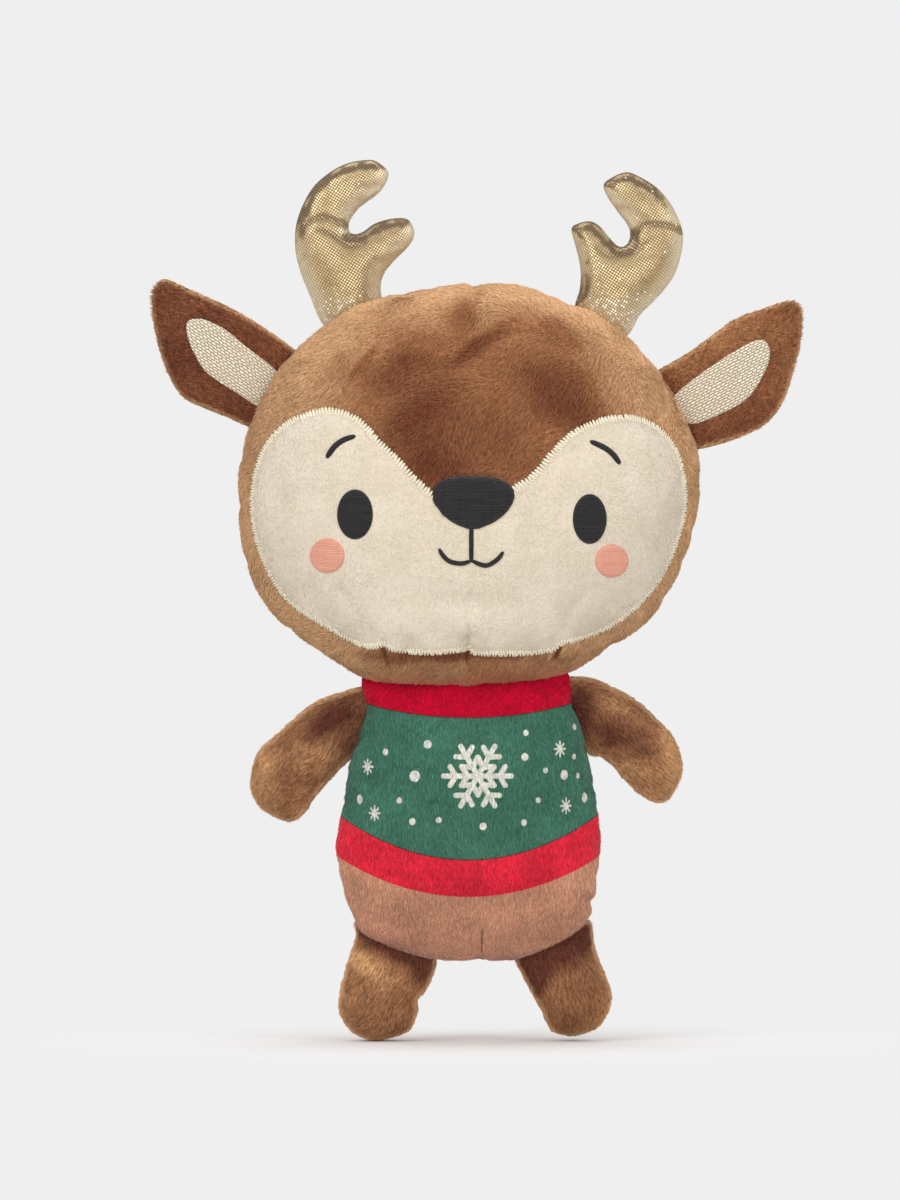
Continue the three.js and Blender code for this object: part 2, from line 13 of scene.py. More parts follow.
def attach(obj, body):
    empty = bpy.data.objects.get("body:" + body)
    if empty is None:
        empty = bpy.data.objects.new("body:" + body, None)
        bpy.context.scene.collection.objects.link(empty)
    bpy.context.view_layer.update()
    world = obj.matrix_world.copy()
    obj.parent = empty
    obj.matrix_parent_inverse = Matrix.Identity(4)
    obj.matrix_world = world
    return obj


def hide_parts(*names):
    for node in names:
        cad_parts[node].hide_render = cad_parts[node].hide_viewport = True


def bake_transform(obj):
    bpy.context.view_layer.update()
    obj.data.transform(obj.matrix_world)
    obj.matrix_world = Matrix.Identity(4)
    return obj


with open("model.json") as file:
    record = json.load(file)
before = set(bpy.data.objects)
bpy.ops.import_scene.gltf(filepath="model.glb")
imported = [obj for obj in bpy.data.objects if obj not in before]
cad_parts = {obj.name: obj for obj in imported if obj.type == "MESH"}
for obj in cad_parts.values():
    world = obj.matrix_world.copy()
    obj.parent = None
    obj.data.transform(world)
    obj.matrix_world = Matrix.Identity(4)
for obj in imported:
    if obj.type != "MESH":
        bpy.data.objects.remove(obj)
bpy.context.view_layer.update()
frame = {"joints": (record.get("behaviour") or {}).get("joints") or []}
print("frame loaded")

mm = 0.001
scene = bpy.context.scene
neckHinge = next(j for j in frame["joints"] if j["name"] == "neck_nod")
# Outlines are in mm: x from the middle of the head, z from the floor; y is 0 in the seam plane
seamPlace = Vector((neckHinge["pos_m"][0], neckHinge["pos_m"][1], 0))


def place(x, z, y=0.0):
    return seamPlace + Vector((x, y, z)) * mm


# The way back: points in m as x, y and z in the outlines' mm
def inOutlines(points):
    return (points - np.array(seamPlace)) / mm


def linear(hexColour):
    parts = [int(hexColour[i:i + 2], 16) / 255 for i in (1, 3, 5)]
    return [c / 12.92 if c <= 0.04045 else ((c + 0.055) / 1.055) ** 2.4 for c in parts] + [1.0]


def newObject(name, data):
    made = bpy.data.objects.new(name, data)
    scene.collection.objects.link(made)
    return made


# Adds a node with its settings and links, and gives its first output, or the one that "out" says
def addNode(tree, kind, inputs=None, out=0, **settings):
    node = tree.nodes.new(kind)
    for name, value in settings.items():
        setattr(node, name, value)
    for name, value in (inputs or {}).items():
        socket = node.inputs[name]
        if isinstance(value, bpy.types.NodeSocket):
            tree.links.new(value, socket)
        else:
            socket.default_value = value
    return node.outputs if out == "all" or not node.outputs else node.outputs[out]


# A material, and what adds a node to it
def newMaterial(name):
    material = bpy.data.materials.new(name)
    material.use_nodes = True
    material.node_tree.nodes.clear()
    return material, partial(addNode, material.node_tree)


# Camera, floor and light

shot = {
    "distance": 3.0,  # m, a long lens as in product photographs
    "middle": (-5.5, 132.3),  # mm, what the middle of the picture shows
    "pictureHeight": 0.36,  # m across the seam plane
}

cameraData = bpy.data.cameras.new("camera")
cameraData.sensor_width = 36
cameraData.lens = cameraData.sensor_width * shot["distance"] / shot["pictureHeight"]
cameraData.clip_end = 20
camera = newObject("camera", cameraData)
camera.location = place(*shot["middle"]) + Vector((0, -shot["distance"], 0))
camera.rotation_euler = (math.radians(90), 0, 0)
scene.camera = camera
scene.view_settings.view_transform = "Standard"

studio = {
    "backdrop": "#efefef",
    "worldLight": 0.55,
    "floor": "#fdfdfd",
    "floorHalf": 1.0,  # m
    "floorSolid": 0.03,  # m from the deer, where the floor starts to fade into the backdrop
    "floorGone": 0.15,
    "lampsLookAt": 130,  # mm above the floor
    # name: place (m), size (m), watts
    "lamps": {
        "softboxLeft": ((-0.9, -1.3, 1.0), 0.9, 9.5),
        "softboxRight": ((1.0, -1.2, 0.8), 0.9, 6.0),
        "softboxTop": ((0.0, 0.25, 1.3), 1.0, 4.0),
        "softboxFront": ((0.1, -1.7, 0.2), 1.0, 7.0),
    },
}

# White light comes from all round, and the camera, metal and glass see the backdrop there
world = bpy.data.worlds.new("studio")
scene.world = world
world.use_nodes = True
world.node_tree.nodes.clear()
add = partial(addNode, world.node_tree)
rays = add("ShaderNodeLightPath", out="all")
looks = add("ShaderNodeMath", {0: rays["Is Camera Ray"], 1: rays["Is Glossy Ray"]}, operation="MAXIMUM")
looks = add("ShaderNodeMath", {0: looks, 1: rays["Is Transmission Ray"]}, operation="MAXIMUM")
lit = add("ShaderNodeBackground", {"Color": (1, 1, 1, 1), "Strength": studio["worldLight"]})
seen = add("ShaderNodeBackground", {"Color": linear(studio["backdrop"]), "Strength": 1.0})
add("ShaderNodeOutputWorld", {"Surface": add("ShaderNodeMixShader", {0: looks, 1: lit, 2: seen})})

for lampName, (spot, size, watts) in studio["lamps"].items():
    lampData = bpy.data.lights.new(lampName, "AREA")
    lampData.shape = "DISK"
    lampData.size = size
    lampData.energy = watts
    lamp = newObject(lampName, lampData)
    lamp.location = spot
    lamp.rotation_euler = (place(0, studio["lampsLookAt"]) - Vector(spot)).to_track_quat("-Z", "Y").to_euler()

# Matt painted board; it fades into the backdrop, so that no edge shows
floorPaint, add = newMaterial("matt_painted_board")
fromDeer = add("ShaderNodeTexCoord", out="Object")
away = add("ShaderNodeVectorMath", {0: fromDeer}, operation="LENGTH", out="Value")
fade = add("ShaderNodeMapRange", {
    "Value": away, "From Min": studio["floorSolid"],
    "From Max": studio["floorGone"]}, interpolation_type="SMOOTHSTEP")
paint = add("ShaderNodeBsdfDiffuse", {"Color": linear(studio["floor"])})
clear = add("ShaderNodeBsdfTransparent")
add("ShaderNodeOutputMaterial", {"Surface": add("ShaderNodeMixShader", {0: fade, 1: paint, 2: clear})})

floorMesh = bpy.data.meshes.new("floor")
half = studio["floorHalf"]
corners = [(x * half, y * half, 0) for x, y in ((-1, -1), (1, -1), (1, 1), (-1, 1))]
floorMesh.from_pydata(corners, [], [(0, 1, 2, 3)])
floorMesh.materials.append(floorPaint)
newObject("floor", floorMesh)
print("studio ready")


# Outlines

# A smooth curve through an outline's points, and even steps along it
def smoothLoop(outline, spacing, closed=True):
    knots = np.array(outline, float)
    count = len(knots)
    t = np.linspace(0, 1, 12, endpoint=False)[:, None]
    curve = []
    for i in range(count if closed else count - 1):
        around = [i + k for k in (-1, 0, 1, 2)]
        a, b, c, d = (knots[k % count if closed else min(max(k, 0), count - 1)] for k in around)
        bend, twist = 2 * a - 5 * b + 4 * c - d, 3 * b - a - 3 * c + d
        curve.append(0.5 * (2 * b + (c - a) * t + bend * t**2 + twist * t**3))
    curve = np.vstack(curve + ([] if closed else [knots[-1:]]))
    ring = np.vstack([curve, curve[:1]]) if closed else curve
    travelled = np.concatenate([[0], np.cumsum(np.linalg.norm(np.diff(ring, axis=0), axis=1))])
    steps = max(3, int(round(travelled[-1] / spacing)))
    stops = np.linspace(0, travelled[-1], steps + 1)
    if closed:
        stops = stops[:-1]
    return np.column_stack([np.interp(stops, travelled, ring[:, k]) for k in range(ring.shape[1])])


# For each point: its distance from a line, how far along that is, from 0 to 1, and the nearest place on it
def rimDistance(points, loop, closed=True):
    a = loop if closed else loop[:-1]
    b = np.roll(loop, -1, axis=0) if closed else loop[1:]
    along = b - a
    t = np.clip(((points[:, None] - a) * along).sum(2) / np.maximum((along**2).sum(1), 1e-12), 0, 1)
    gaps = np.sqrt(((points[:, None] - a - t[..., None] * along) ** 2).sum(2))
    nearest = gaps.argmin(1)
    rows = np.arange(len(points))
    share = t[rows, nearest]
    return gaps[rows, nearest], (nearest + share) / len(a), a[nearest] + share[:, None] * along[nearest]


def insideLoop(points, loop):
    x, z = points[:, 0, None], points[:, 1, None]
    ax, az = loop[:, 0], loop[:, 1]
    bx, bz = np.roll(ax, -1), np.roll(az, -1)
    with np.errstate(divide="ignore", invalid="ignore"):
        crossed = ((az > z) != (bz > z)) & (x < (bx - ax) * (z - az) / (bz - az) + ax)
    return crossed.sum(1) % 2 == 1


# Points inside an outline: rings along the rim, then an even grid. Gives the points, the rim's first, the
# triangles, how many points are on the rim, and each point's distance from it
def fillOutline(outline, spacing, rings):
    loop = smoothLoop(outline, spacing)
    if ((np.roll(loop[:, 0], -1) - loop[:, 0]) * (np.roll(loop[:, 1], -1) + loop[:, 1])).sum() > 0:
        loop = loop[::-1]
    ahead = np.roll(loop, -1, axis=0) - np.roll(loop, 1, axis=0)
    inward = np.column_stack([-ahead[:, 1], ahead[:, 0]]) / np.linalg.norm(ahead, axis=1)[:, None]
    kept = [loop]
    for inset in rings:
        ring = loop + inward * inset
        fits = insideLoop(ring, loop)
        fits[fits] = rimDistance(ring[fits], loop)[0] > inset * 0.9
        kept.append(ring[fits])
    low, high = loop.min(0), loop.max(0)
    rowStep = spacing * math.sqrt(3) / 2
    grid = []
    for row, z in enumerate(np.arange(low[1], high[1], rowStep)):
        xs = np.arange(low[0] + (row % 2) * spacing / 2, high[0], spacing)
        grid.append(np.column_stack([xs, np.full(len(xs), z)]))
    grid = np.vstack(grid)
    grid = grid[insideLoop(grid, loop)]
    grid = grid[rimDistance(grid, loop)[0] > (rings[-1] if rings else 0) + spacing * 0.55]
    points = np.vstack(kept + [grid])
    count = len(loop)
    edges = [(i, (i + 1) % count) for i in range(count)]
    made = delaunay_2d_cdt([Vector(p) for p in points], edges, [], 1, 1e-6)
    points = np.array([tuple(p) for p in made[0]])
    return points, [tuple(f) for f in made[2]], count, rimDistance(points, points[:count])[0]


# Meshes

def readValues(items, name, width=1, kind=np.float32):
    flat = np.empty(len(items) * width, kind)
    items.foreach_get(name, flat)
    return flat.reshape(-1, width) if width > 1 else flat


def getPoints(mesh):
    return readValues(mesh.vertices, "co", 3, float)


def setPoints(mesh, points):
    mesh.vertices.foreach_set("co", points.astype(np.float32).ravel())
    mesh.update()


def getNormals(mesh):
    return readValues(mesh.vertex_normals, "vector", 3).astype(float)


# Keeps a number or a place for each point, for a node tree to read
def keepValues(mesh, name, values):
    values = np.array(values, np.float32)
    kind, field = ("FLOAT", "value") if values.ndim == 1 else ("FLOAT_VECTOR", "vector")
    mesh.attributes.new(name, kind, "POINT").data.foreach_set(field, values.ravel())


def objectFrom(shape, name, material):
    mesh = bpy.data.meshes.new(name)
    bmesh.ops.recalc_face_normals(shape, faces=shape.faces[:])
    shape.to_mesh(mesh)
    shape.free()
    mesh.materials.append(material)
    mesh.shade_smooth()
    return newObject(name, mesh)


def meshObject(name, points, faces, material):
    mesh = bpy.data.meshes.new(name)
    mesh.from_pydata([tuple(p) for p in points], [], [tuple(int(i) for i in f) for f in faces])
    shape = bmesh.new()
    shape.from_mesh(mesh)
    bpy.data.meshes.remove(mesh)
    return objectFrom(shape, name, material)


# Replaces the mesh by what its modifiers make of it
def bakeModifiers(piece):
    graph = bpy.context.evaluated_depsgraph_get()
    baked = bpy.data.meshes.new_from_object(piece.evaluated_get(graph))
    piece.modifiers.clear()
    piece.data = baked
    baked.shade_smooth()


def subdivide(piece):
    modifier = piece.modifiers.new("smooth", "SUBSURF")
    modifier.levels = modifier.render_levels = 1
    bakeModifiers(piece)


# A stuffed ball: the outline is its silhouette and its seam runs round it in the seam plane
def ballForm(name, sizes, material):
    centre, squareness = sizes["centre"], 2 / sizes["fullness"]
    shape = bmesh.new()
    bmesh.ops.create_cube(shape, size=2)
    bmesh.ops.subdivide_edges(shape, edges=shape.edges[:], cuts=sizes["segments"] - 1, use_grid_fill=True)
    rim = smoothLoop(sizes["outline"], 1.0) - np.array(centre)
    angles = np.arctan2(rim[:, 1], rim[:, 0])
    order = np.argsort(angles)
    angles, reaches = angles[order], np.hypot(rim[:, 0], rim[:, 1])[order]
    for corner in shape.verts:
        way = Vector([math.tan(c * math.pi / 4) for c in corner.co]).normalized()
        angle = math.atan2(way.z, way.x)
        rise = min(abs(way.y), 1.0)
        reach = float(np.interp(angle, angles, reaches, period=2 * math.pi))
        out = math.sqrt(1 - rise * rise) ** squareness * reach
        z = centre[1] + out * math.sin(angle)
        deep = math.copysign(rise ** squareness, way.y) * sizes["depth"]
        deep *= float(np.interp(z, *zip(*sizes["depthShares"])))
        corner.co = place(centre[0] + out * math.cos(angle), z, deep)
    return objectFrom(shape, name, material)


# How far a sheet sewn shut along its rim swells at each point, from 0 at the rim to 1
def swelling(points, triangles, rimCount):
    count = len(points)
    pull = np.zeros((count, count))
    share = np.zeros(count)
    for face in triangles:
        for k in range(3):
            i, j, o = face[k], face[(k + 1) % 3], face[(k + 2) % 3]
            u, v = points[i] - points[o], points[j] - points[o]
            area = abs(u[0] * v[1] - u[1] * v[0])
            weight = float(u @ v) / max(area, 1e-9) / 2
            pull[i, j] -= weight
            pull[j, i] -= weight
            pull[i, i] += weight
            pull[j, j] += weight
            share[i] += area / 6
    inner = slice(rimCount, count)
    height = np.zeros(count)
    height[inner] = np.linalg.solve(pull[inner, inner], share[inner])
    return np.sqrt(np.clip(height, 0, None) / height.max())


# Where each point was on the panel before it was stuffed: the cloth that now stands up near the rim lay
# further out
def flatPlaces(points, rimCount, thickness):
    loop = points[:rimCount]
    gap, _, foot = rimDistance(points, loop)
    reach = gap.max()
    turns = np.linspace(0, math.pi / 2, 60)
    steps = np.hypot(reach * np.sin(turns), thickness / 2 * np.cos(turns))
    arc = np.concatenate([[0], np.cumsum((steps[1:] + steps[:-1]) / 2 * np.diff(turns))])
    stretch = np.interp(gap, reach * (1 - np.cos(turns)), arc[-1] - arc) - (reach - gap)
    ahead = np.roll(loop, -1, axis=0) - np.roll(loop, 1, axis=0)
    away = (foot - points) / np.maximum(gap, 1e-6)[:, None]
    away[:rimCount] = np.column_stack([ahead[:, 1], -ahead[:, 0]]) / np.linalg.norm(ahead, axis=1)[:, None]
    return points + away * stretch[:, None]


# Stuffs a sewn skin by cloth simulation: its seam is held, and pressure fills its panels, which are a
# little larger than the form
sewnCloth = {
    "quality": 5, "mass": 0.3, "tension_stiffness": 15, "compression_stiffness": 15, "shear_stiffness": 5,
    "vertex_group_mass": "seam", "use_pressure": True,
}
clothRun = {"steps": 20, "scale": 10}  # at ten times the size the solver's own tolerances are small


def stuff(piece, stuffing):
    start = getPoints(piece.data)
    skin = newObject(piece.name + "_cloth", piece.data.copy())
    setPoints(skin.data, start * clothRun["scale"])
    seam = skin.vertex_groups.new(name="seam")
    seam.add([int(i) for i in np.flatnonzero(np.abs(start[:, 1] - seamPlace.y) < 0.1 * mm)], 1.0, "REPLACE")
    cloth = skin.modifiers.new("cloth", "CLOTH")
    for name, value in {
        **sewnCloth, "bending_stiffness": stuffing["bending"], "shrink_min": -stuffing["slack"],
        "uniform_pressure_force": stuffing["pressure"],
    }.items():
        setattr(cloth.settings, name, value)
    cloth.settings.effector_weights.gravity = 0
    cloth.point_cache.frame_end = clothRun["steps"]
    for step in range(clothRun["steps"]):
        scene.frame_set(step + 1)
    graph = bpy.context.evaluated_depsgraph_get()
    shift = getPoints(skin.evaluated_get(graph).data) / clothRun["scale"] - start
    bpy.data.objects.remove(skin)
    far = np.linalg.norm(shift, axis=1)
    print(f"{piece.name}: stuffed, moved {far.mean() / mm:.2f} mm, at most {far.max() / mm:.2f} mm")
    held = np.minimum(1, stuffing["most"] * mm / np.maximum(far, 1e-9))
    setPoints(piece.data, start + shift * held[:, None])


# A flat stuffed form: front and back panel sewn together along the outline
def flatForm(name, sizes, cloth, material):
    spacing, thickness = cloth["spacing"], sizes["thickness"]
    rings = [share * spacing for share in cloth["rings"]]
    points, triangles, rimCount, rimGap = fillOutline(sizes["outline"], spacing, rings)
    height = swelling(points, triangles, rimCount) ** (2 / cloth["fullness"]) * thickness / 2
    front = [place(x, z, -h) for (x, z), h in zip(points, height)]
    back = [place(x, z, h) for (x, z), h in zip(points[rimCount:], height[rimCount:])]
    behind = lambda i: i if i < rimCount else i - rimCount + len(points)
    faces = triangles + [tuple(map(behind, f[::-1])) for f in triangles]
    piece = meshObject(name, front + back, faces, material)
    flat = np.column_stack([flatPlaces(points, rimCount, thickness), rimGap])
    keepValues(piece.data, "panelPlace", np.vstack([flat, flat[rimCount:]]))
    return piece


# Painted shade and painted reflection on the foil: painted shade where it turns upwards inside its rim, for
# the dark of a room that it would mirror, and in its creases; painted reflection of a pale table at its other
# edges, kept below 0
mirrored = {
    "up": (-0.35, 0, 0.94),
    "waver": 2.5,  # mm, how long the dark band's waves are
    "band": ([0.1, 0.5, 2.5, 3.0], [0, 1, 1, 0]),  # painted shade share at mm from the rim
    "turned": ([0.35, 0.5], [0, 1]),  # painted shade share by how far it turns upwards
    "pale": ([0, 0.4], [1, 0.3]),  # painted reflection share by the same, and at mm from the rim
    "rim": ([0.5, 5.0], [1, 0]),
    "root": ([216, 226], [0.5, 0]),  # painted reflection share at heights by the head
}


def shadeFoil(piece, outline, creases):
    mesh = piece.data
    flat = readValues(mesh.attributes["panelPlace"].data, "vector", 3)[:, :2].astype(float)
    points = getPoints(mesh)
    waver = np.array([noise.noise(Vector(p) / (mirrored["waver"] * mm)) for p in points])
    gap = rimDistance(flat, smoothLoop(outline, 0.6))[0]
    normals = getNormals(mesh)
    upward = normals @ np.array(mirrored["up"]) / np.maximum(np.hypot(normals[:, 0], normals[:, 2]), 0.2)
    # Painted shade: a band inside the rim where it turns upwards, and a line under each crease
    dark = np.interp(gap + waver * 0.9, *mirrored["band"])
    dark = dark * np.interp(upward + waver * 0.2, *mirrored["turned"])
    for line, width, depth, _ in creases:
        path = smoothLoop(line, 0.5, closed=False)
        away = rimDistance(inOutlines(points)[:, [0, 2]], path, closed=False)[0]
        dark = np.maximum(dark, np.exp(-((away / width) ** 2)) * depth * (points[:, 1] < seamPlace.y))
    # Painted reflection at the edges that don't turn upwards, and by the head
    pale = np.interp(upward, *mirrored["pale"]) * np.interp(gap, *mirrored["rim"])
    pale = np.maximum(pale, np.interp(flat[:, 1], *mirrored["root"]))
    keepValues(mesh, "foilShadow", np.where(dark > 0.03, dark, -pale).clip(-1, 1))


# The first spot of a piece that a line from the front meets, and the piece's direction there
def frontOf(target):
    skin = BVHTree.FromObject(target, bpy.context.evaluated_depsgraph_get())
    return lambda x, z: skin.ray_cast(place(x, z, -150), Vector((0, 1, 0)))[:2]


# A patch that lies on the front of a piece, with a rolled edge. Sizes are in mm and degrees
def layOn(name, target, outline, sizes, material):
    edge, lift = sizes["edge"], sizes.get("lift", 0.0)
    points, triangles, rimCount, rimGap = fillOutline(outline, sizes["spacing"], (0.25 * edge, 0.6 * edge))
    meet = frontOf(target)
    roll = np.sqrt(1 - (1 - np.clip(rimGap / edge, 0, 1)) ** 2)
    rise = sizes["thickness"] * (0.15 + 0.85 * roll)  # the rim is a seventh as thick
    front, back = [], []
    for (x, z), high in zip(points, rise):
        spot, normal = meet(x, z)
        front.append(spot + normal * (lift + high) * mm)
        back.append(spot + normal * (lift - 0.3) * mm)
    count = len(points)
    faces = triangles + [tuple(i + count for i in f[::-1]) for f in triangles]
    faces += [(i, (i + 1) % rimCount, (i + 1) % rimCount + count, i + count) for i in range(rimCount)]
    piece = meshObject(name, front + back, faces, material)
    turn = math.radians(sizes.get("threadTurn", 0))
    flat = points @ np.array([[math.cos(turn), -math.sin(turn)], [math.sin(turn), math.cos(turn)]])
    keepValues(piece.data, "threadPlace", np.pad(np.vstack([flat, flat]), ((0, 0), (0, 1))))
    return piece


# The outline of a line of stitches with round ends
def strokeOutline(line, width):
    middle = smoothLoop(line, 0.5, closed=False)
    ahead = np.gradient(middle, axis=0)
    ahead /= np.linalg.norm(ahead, axis=1)[:, None]
    side = np.column_stack([-ahead[:, 1], ahead[:, 0]])
    share = np.linspace(-1, 1, len(middle))
    halves = side * (width / 2 * np.sqrt(1.06 - share**6))[:, None]
    return np.vstack([middle + halves, (middle - halves)[::-1]])


def joinPieces(name, parts):
    shape = bmesh.new()
    for part in parts:
        shape.from_mesh(part.data)
    joined = objectFrom(shape, name, parts[0].data.materials[0])
    for part in parts:
        bpy.data.objects.remove(part)
    return joined


# Presses folds into a piece: each is a line of (x, z), a width and a depth, on the front or on both sides
def pressFolds(piece, folds):
    points, normals = getPoints(piece.data), getNormals(piece.data)
    ahead = points[:, 1] < seamPlace.y
    moved = np.zeros(len(points))
    for line, width, depth, side in folds:
        path = smoothLoop(line, 0.5, closed=False)
        gap, along, _ = rimDistance(inOutlines(points)[:, [0, 2]], path, closed=False)
        ends = np.clip(np.minimum(along, 1 - along) * 5, 0, 1)
        ends = ends * ends * (3 - 2 * ends)
        moved -= np.where(ahead | (side == "both"), depth * np.exp(-((gap / width) ** 2)) * ends, 0)
    setPoints(piece.data, points + normals * moved[:, None] * mm)


# The cloth lies a little inside the outline, which goes to the tips of its pile, and isn't quite even
def sinkUnderPile(piece, under):
    points = getPoints(piece.data)
    rise = np.array([noise.noise(Vector(p) / (under["size"] * mm)) for p in points])
    shift = (rise * under["uneven"] - under["inset"]) * mm
    setPoints(piece.data, points + getNormals(piece.data) * shift[:, None])


# A Geometry Nodes tree, what adds a node to it, and its inputs
def newTree(name, result, **inputs):
    tree = bpy.data.node_groups.new(name, "GeometryNodeTree")
    for inputName, kind in inputs.items():
        tree.interface.new_socket(inputName, in_out="INPUT", socket_type="NodeSocket" + kind)
    tree.interface.new_socket(result, in_out="OUTPUT", socket_type="NodeSocketGeometry")
    add = partial(addNode, tree)
    return tree, add, add("NodeGroupInput", out="all")


# Turns what a tree makes of a piece into its mesh
def runTree(piece, tree, values):
    modifier = piece.modifiers.new(tree.name, "NODES")
    modifier.node_group = tree
    for item in tree.interface.items_tree:
        if item.name in values:
            modifier[item.identifier] = values[item.name]
    bakeModifiers(piece)


# A row of stitches along a line on a surface; the line's points hold the surface's direction as "outward"
stitchRow, add, given = newTree(
    "rowOfStitches", "Stitches", Line="Geometry", Spacing="Float", Width="Float", Length="Float",
    Height="Float", Turn="Float", Sway="Float", Seed="Int", Thread="Material")
line = add("GeometryNodeMeshToCurve", {"Mesh": given["Line"]})
stops = add("GeometryNodeResampleCurve", {"Curve": line, "Length": given["Spacing"]}, mode="LENGTH")
outward = add("GeometryNodeInputNamedAttribute", {"Name": "outward"}, data_type="FLOAT_VECTOR")
ahead = add("GeometryNodeInputTangent")
upright = add("FunctionNodeAlignRotationToVector", {"Vector": outward}, axis="Z")
facing = add("FunctionNodeAlignRotationToVector", {
    "Rotation": upright, "Vector": ahead}, axis="X", pivot_axis="Z")
swaying = add("FunctionNodeRandomValue", {2: -1.0, 3: 1.0, "Seed": given["Seed"]}, data_type="FLOAT", out=1)
turned = add("ShaderNodeMath", {0: swaying, 1: given["Sway"], 2: given["Turn"]}, operation="MULTIPLY_ADD")
turned = add("FunctionNodeEulerToRotation", {0: add("ShaderNodeCombineXYZ", {"Z": turned})})
facing = add("FunctionNodeRotateRotation", {"Rotation": facing, "Rotate By": turned}, rotation_space="LOCAL")
sizes = add("ShaderNodeCombineXYZ", {"X": given["Width"], "Y": given["Length"], "Z": given["Height"]})
uneven = add("ShaderNodeMath", {0: swaying, 1: 0.12, 2: 1.0}, operation="MULTIPLY_ADD")
sizes = add("ShaderNodeVectorMath", {0: sizes, "Scale": uneven}, operation="SCALE")
bead = add("GeometryNodeMeshUVSphere", {"Segments": 8, "Rings": 5, "Radius": 0.5}, out="Mesh")
sewn = add("GeometryNodeInstanceOnPoints", {
    "Points": stops, "Instance": bead, "Rotation": facing, "Scale": sizes})
sewn = add("GeometryNodeRealizeInstances", {0: sewn})
at = add("ShaderNodeSeparateXYZ", {0: add("GeometryNodeInputPosition")}, out="all")
at = add("ShaderNodeCombineXYZ", {"X": at["X"], "Y": at["Z"]})
at = add("ShaderNodeVectorMath", {0: at, "Scale": 1 / mm}, operation="SCALE")
sewn = add("GeometryNodeStoreNamedAttribute", {
    "Geometry": sewn, "Name": "threadPlace", "Value": at}, data_type="FLOAT_VECTOR")
sewn = add("GeometryNodeSetMaterial", {"Geometry": sewn, "Material": given["Thread"]})
add("NodeGroupOutput", {"Stitches": sewn})


# Sizes are in mm and degrees
def sewRow(name, target, line, sizes, material):
    spots, outward = zip(*map(frontOf(target), *smoothLoop(line, 0.8, closed=False).T))
    mesh = bpy.data.meshes.new(name)
    raised = [spot + normal * sizes["lift"] * mm for spot, normal in zip(spots, outward)]
    mesh.from_pydata(raised, [(i, i + 1) for i in range(len(spots) - 1)], [])
    keepValues(mesh, "outward", outward)
    piece = newObject(name, mesh)
    runTree(piece, stitchRow, {
        "Spacing": sizes["spacing"] * mm, "Width": sizes["width"] * mm, "Length": sizes["length"] * mm,
        "Height": sizes["height"] * mm, "Turn": math.radians(sizes["turn"]),
        "Sway": math.radians(sizes["sway"]), "Seed": sizes["seed"], "Thread": material,
    })
    return piece


# Pile: single tapered tufts that grow from a skin and lie over along its nap. "cover" is the share of them
# that is there; each tuft keeps its own chance as "tint", its height along itself as "tip" and the skin's
# direction as "upright"
pileGrowth, add, given = newTree(
    "shortPile", "Pile", Skin="Geometry", Density="Float", Length="Float", Width="Float", Rise="Float",
    Spread="Float", Seed="Int", Plush="Material")
cover = add("GeometryNodeInputNamedAttribute", {"Name": "cover"}, data_type="FLOAT")
density = add("ShaderNodeMath", {0: given["Density"], 1: cover}, operation="MULTIPLY")
roots = add("GeometryNodeDistributePointsOnFaces", {
    "Mesh": given["Skin"], "Density": density, "Seed": given["Seed"]}, out="all")
rooted = add("GeometryNodeStoreNamedAttribute", {
    "Geometry": roots["Points"], "Name": "upright", "Value": roots["Normal"]}, data_type="FLOAT_VECTOR")
upright = add("GeometryNodeInputNamedAttribute", {"Name": "upright"}, data_type="FLOAT_VECTOR")
nap = add("GeometryNodeInputNamedAttribute", {"Name": "nap"}, data_type="FLOAT_VECTOR")
along = add("ShaderNodeVectorMath", {0: nap, 1: upright}, operation="DOT_PRODUCT", out="Value")
inwards = add("ShaderNodeVectorMath", {0: upright, "Scale": along}, operation="SCALE")
lying = add("ShaderNodeVectorMath", {0: nap, 1: inwards}, operation="SUBTRACT")
lying = add("ShaderNodeVectorMath", {0: lying}, operation="NORMALIZE")
loose = add("FunctionNodeRandomValue", {
    0: (-1.0,) * 3, 1: (1.0,) * 3, "Seed": given["Seed"]}, data_type="FLOAT_VECTOR")
lying = add("ShaderNodeVectorMath", {0: loose, 1: given["Spread"], 2: lying}, operation="MULTIPLY_ADD")
lying = add("ShaderNodeVectorMath", {0: upright, 1: given["Rise"], 2: lying}, operation="MULTIPLY_ADD")
facing = add("FunctionNodeAlignRotationToVector", {"Vector": lying}, axis="Z")
tuft = add("GeometryNodeMeshCone", {
    "Vertices": 3, "Radius Top": 0.0, "Radius Bottom": 0.5, "Depth": 1.0}, fill_type="NONE")
high = add("ShaderNodeSeparateXYZ", {0: add("GeometryNodeInputPosition")}, out="Z")
tuft = add("GeometryNodeStoreNamedAttribute", {
    "Geometry": tuft, "Name": "tip", "Value": high}, data_type="FLOAT")
chance = add("FunctionNodeRandomValue", {2: 0.0, 3: 1.0, "Seed": given["Seed"]}, data_type="FLOAT", out=1)
reach = add("ShaderNodeMath", {0: chance, 1: 0.6, 2: 0.7}, operation="MULTIPLY_ADD")
reach = add("ShaderNodeMath", {0: reach, 1: given["Length"]}, operation="MULTIPLY")
sizes = add("ShaderNodeCombineXYZ", {"X": given["Width"], "Y": given["Width"], "Z": reach})
grown = add("GeometryNodeInstanceOnPoints", {
    "Points": rooted, "Instance": tuft, "Rotation": facing, "Scale": sizes})
grown = add("GeometryNodeStoreNamedAttribute", {
    "Geometry": grown, "Name": "tint", "Value": chance}, data_type="FLOAT", domain="INSTANCE")
grown = add("GeometryNodeRealizeInstances", {0: grown})
grown = add("GeometryNodeSetMaterial", {"Geometry": grown, "Material": given["Plush"]})
add("NodeGroupOutput", {"Pile": grown})


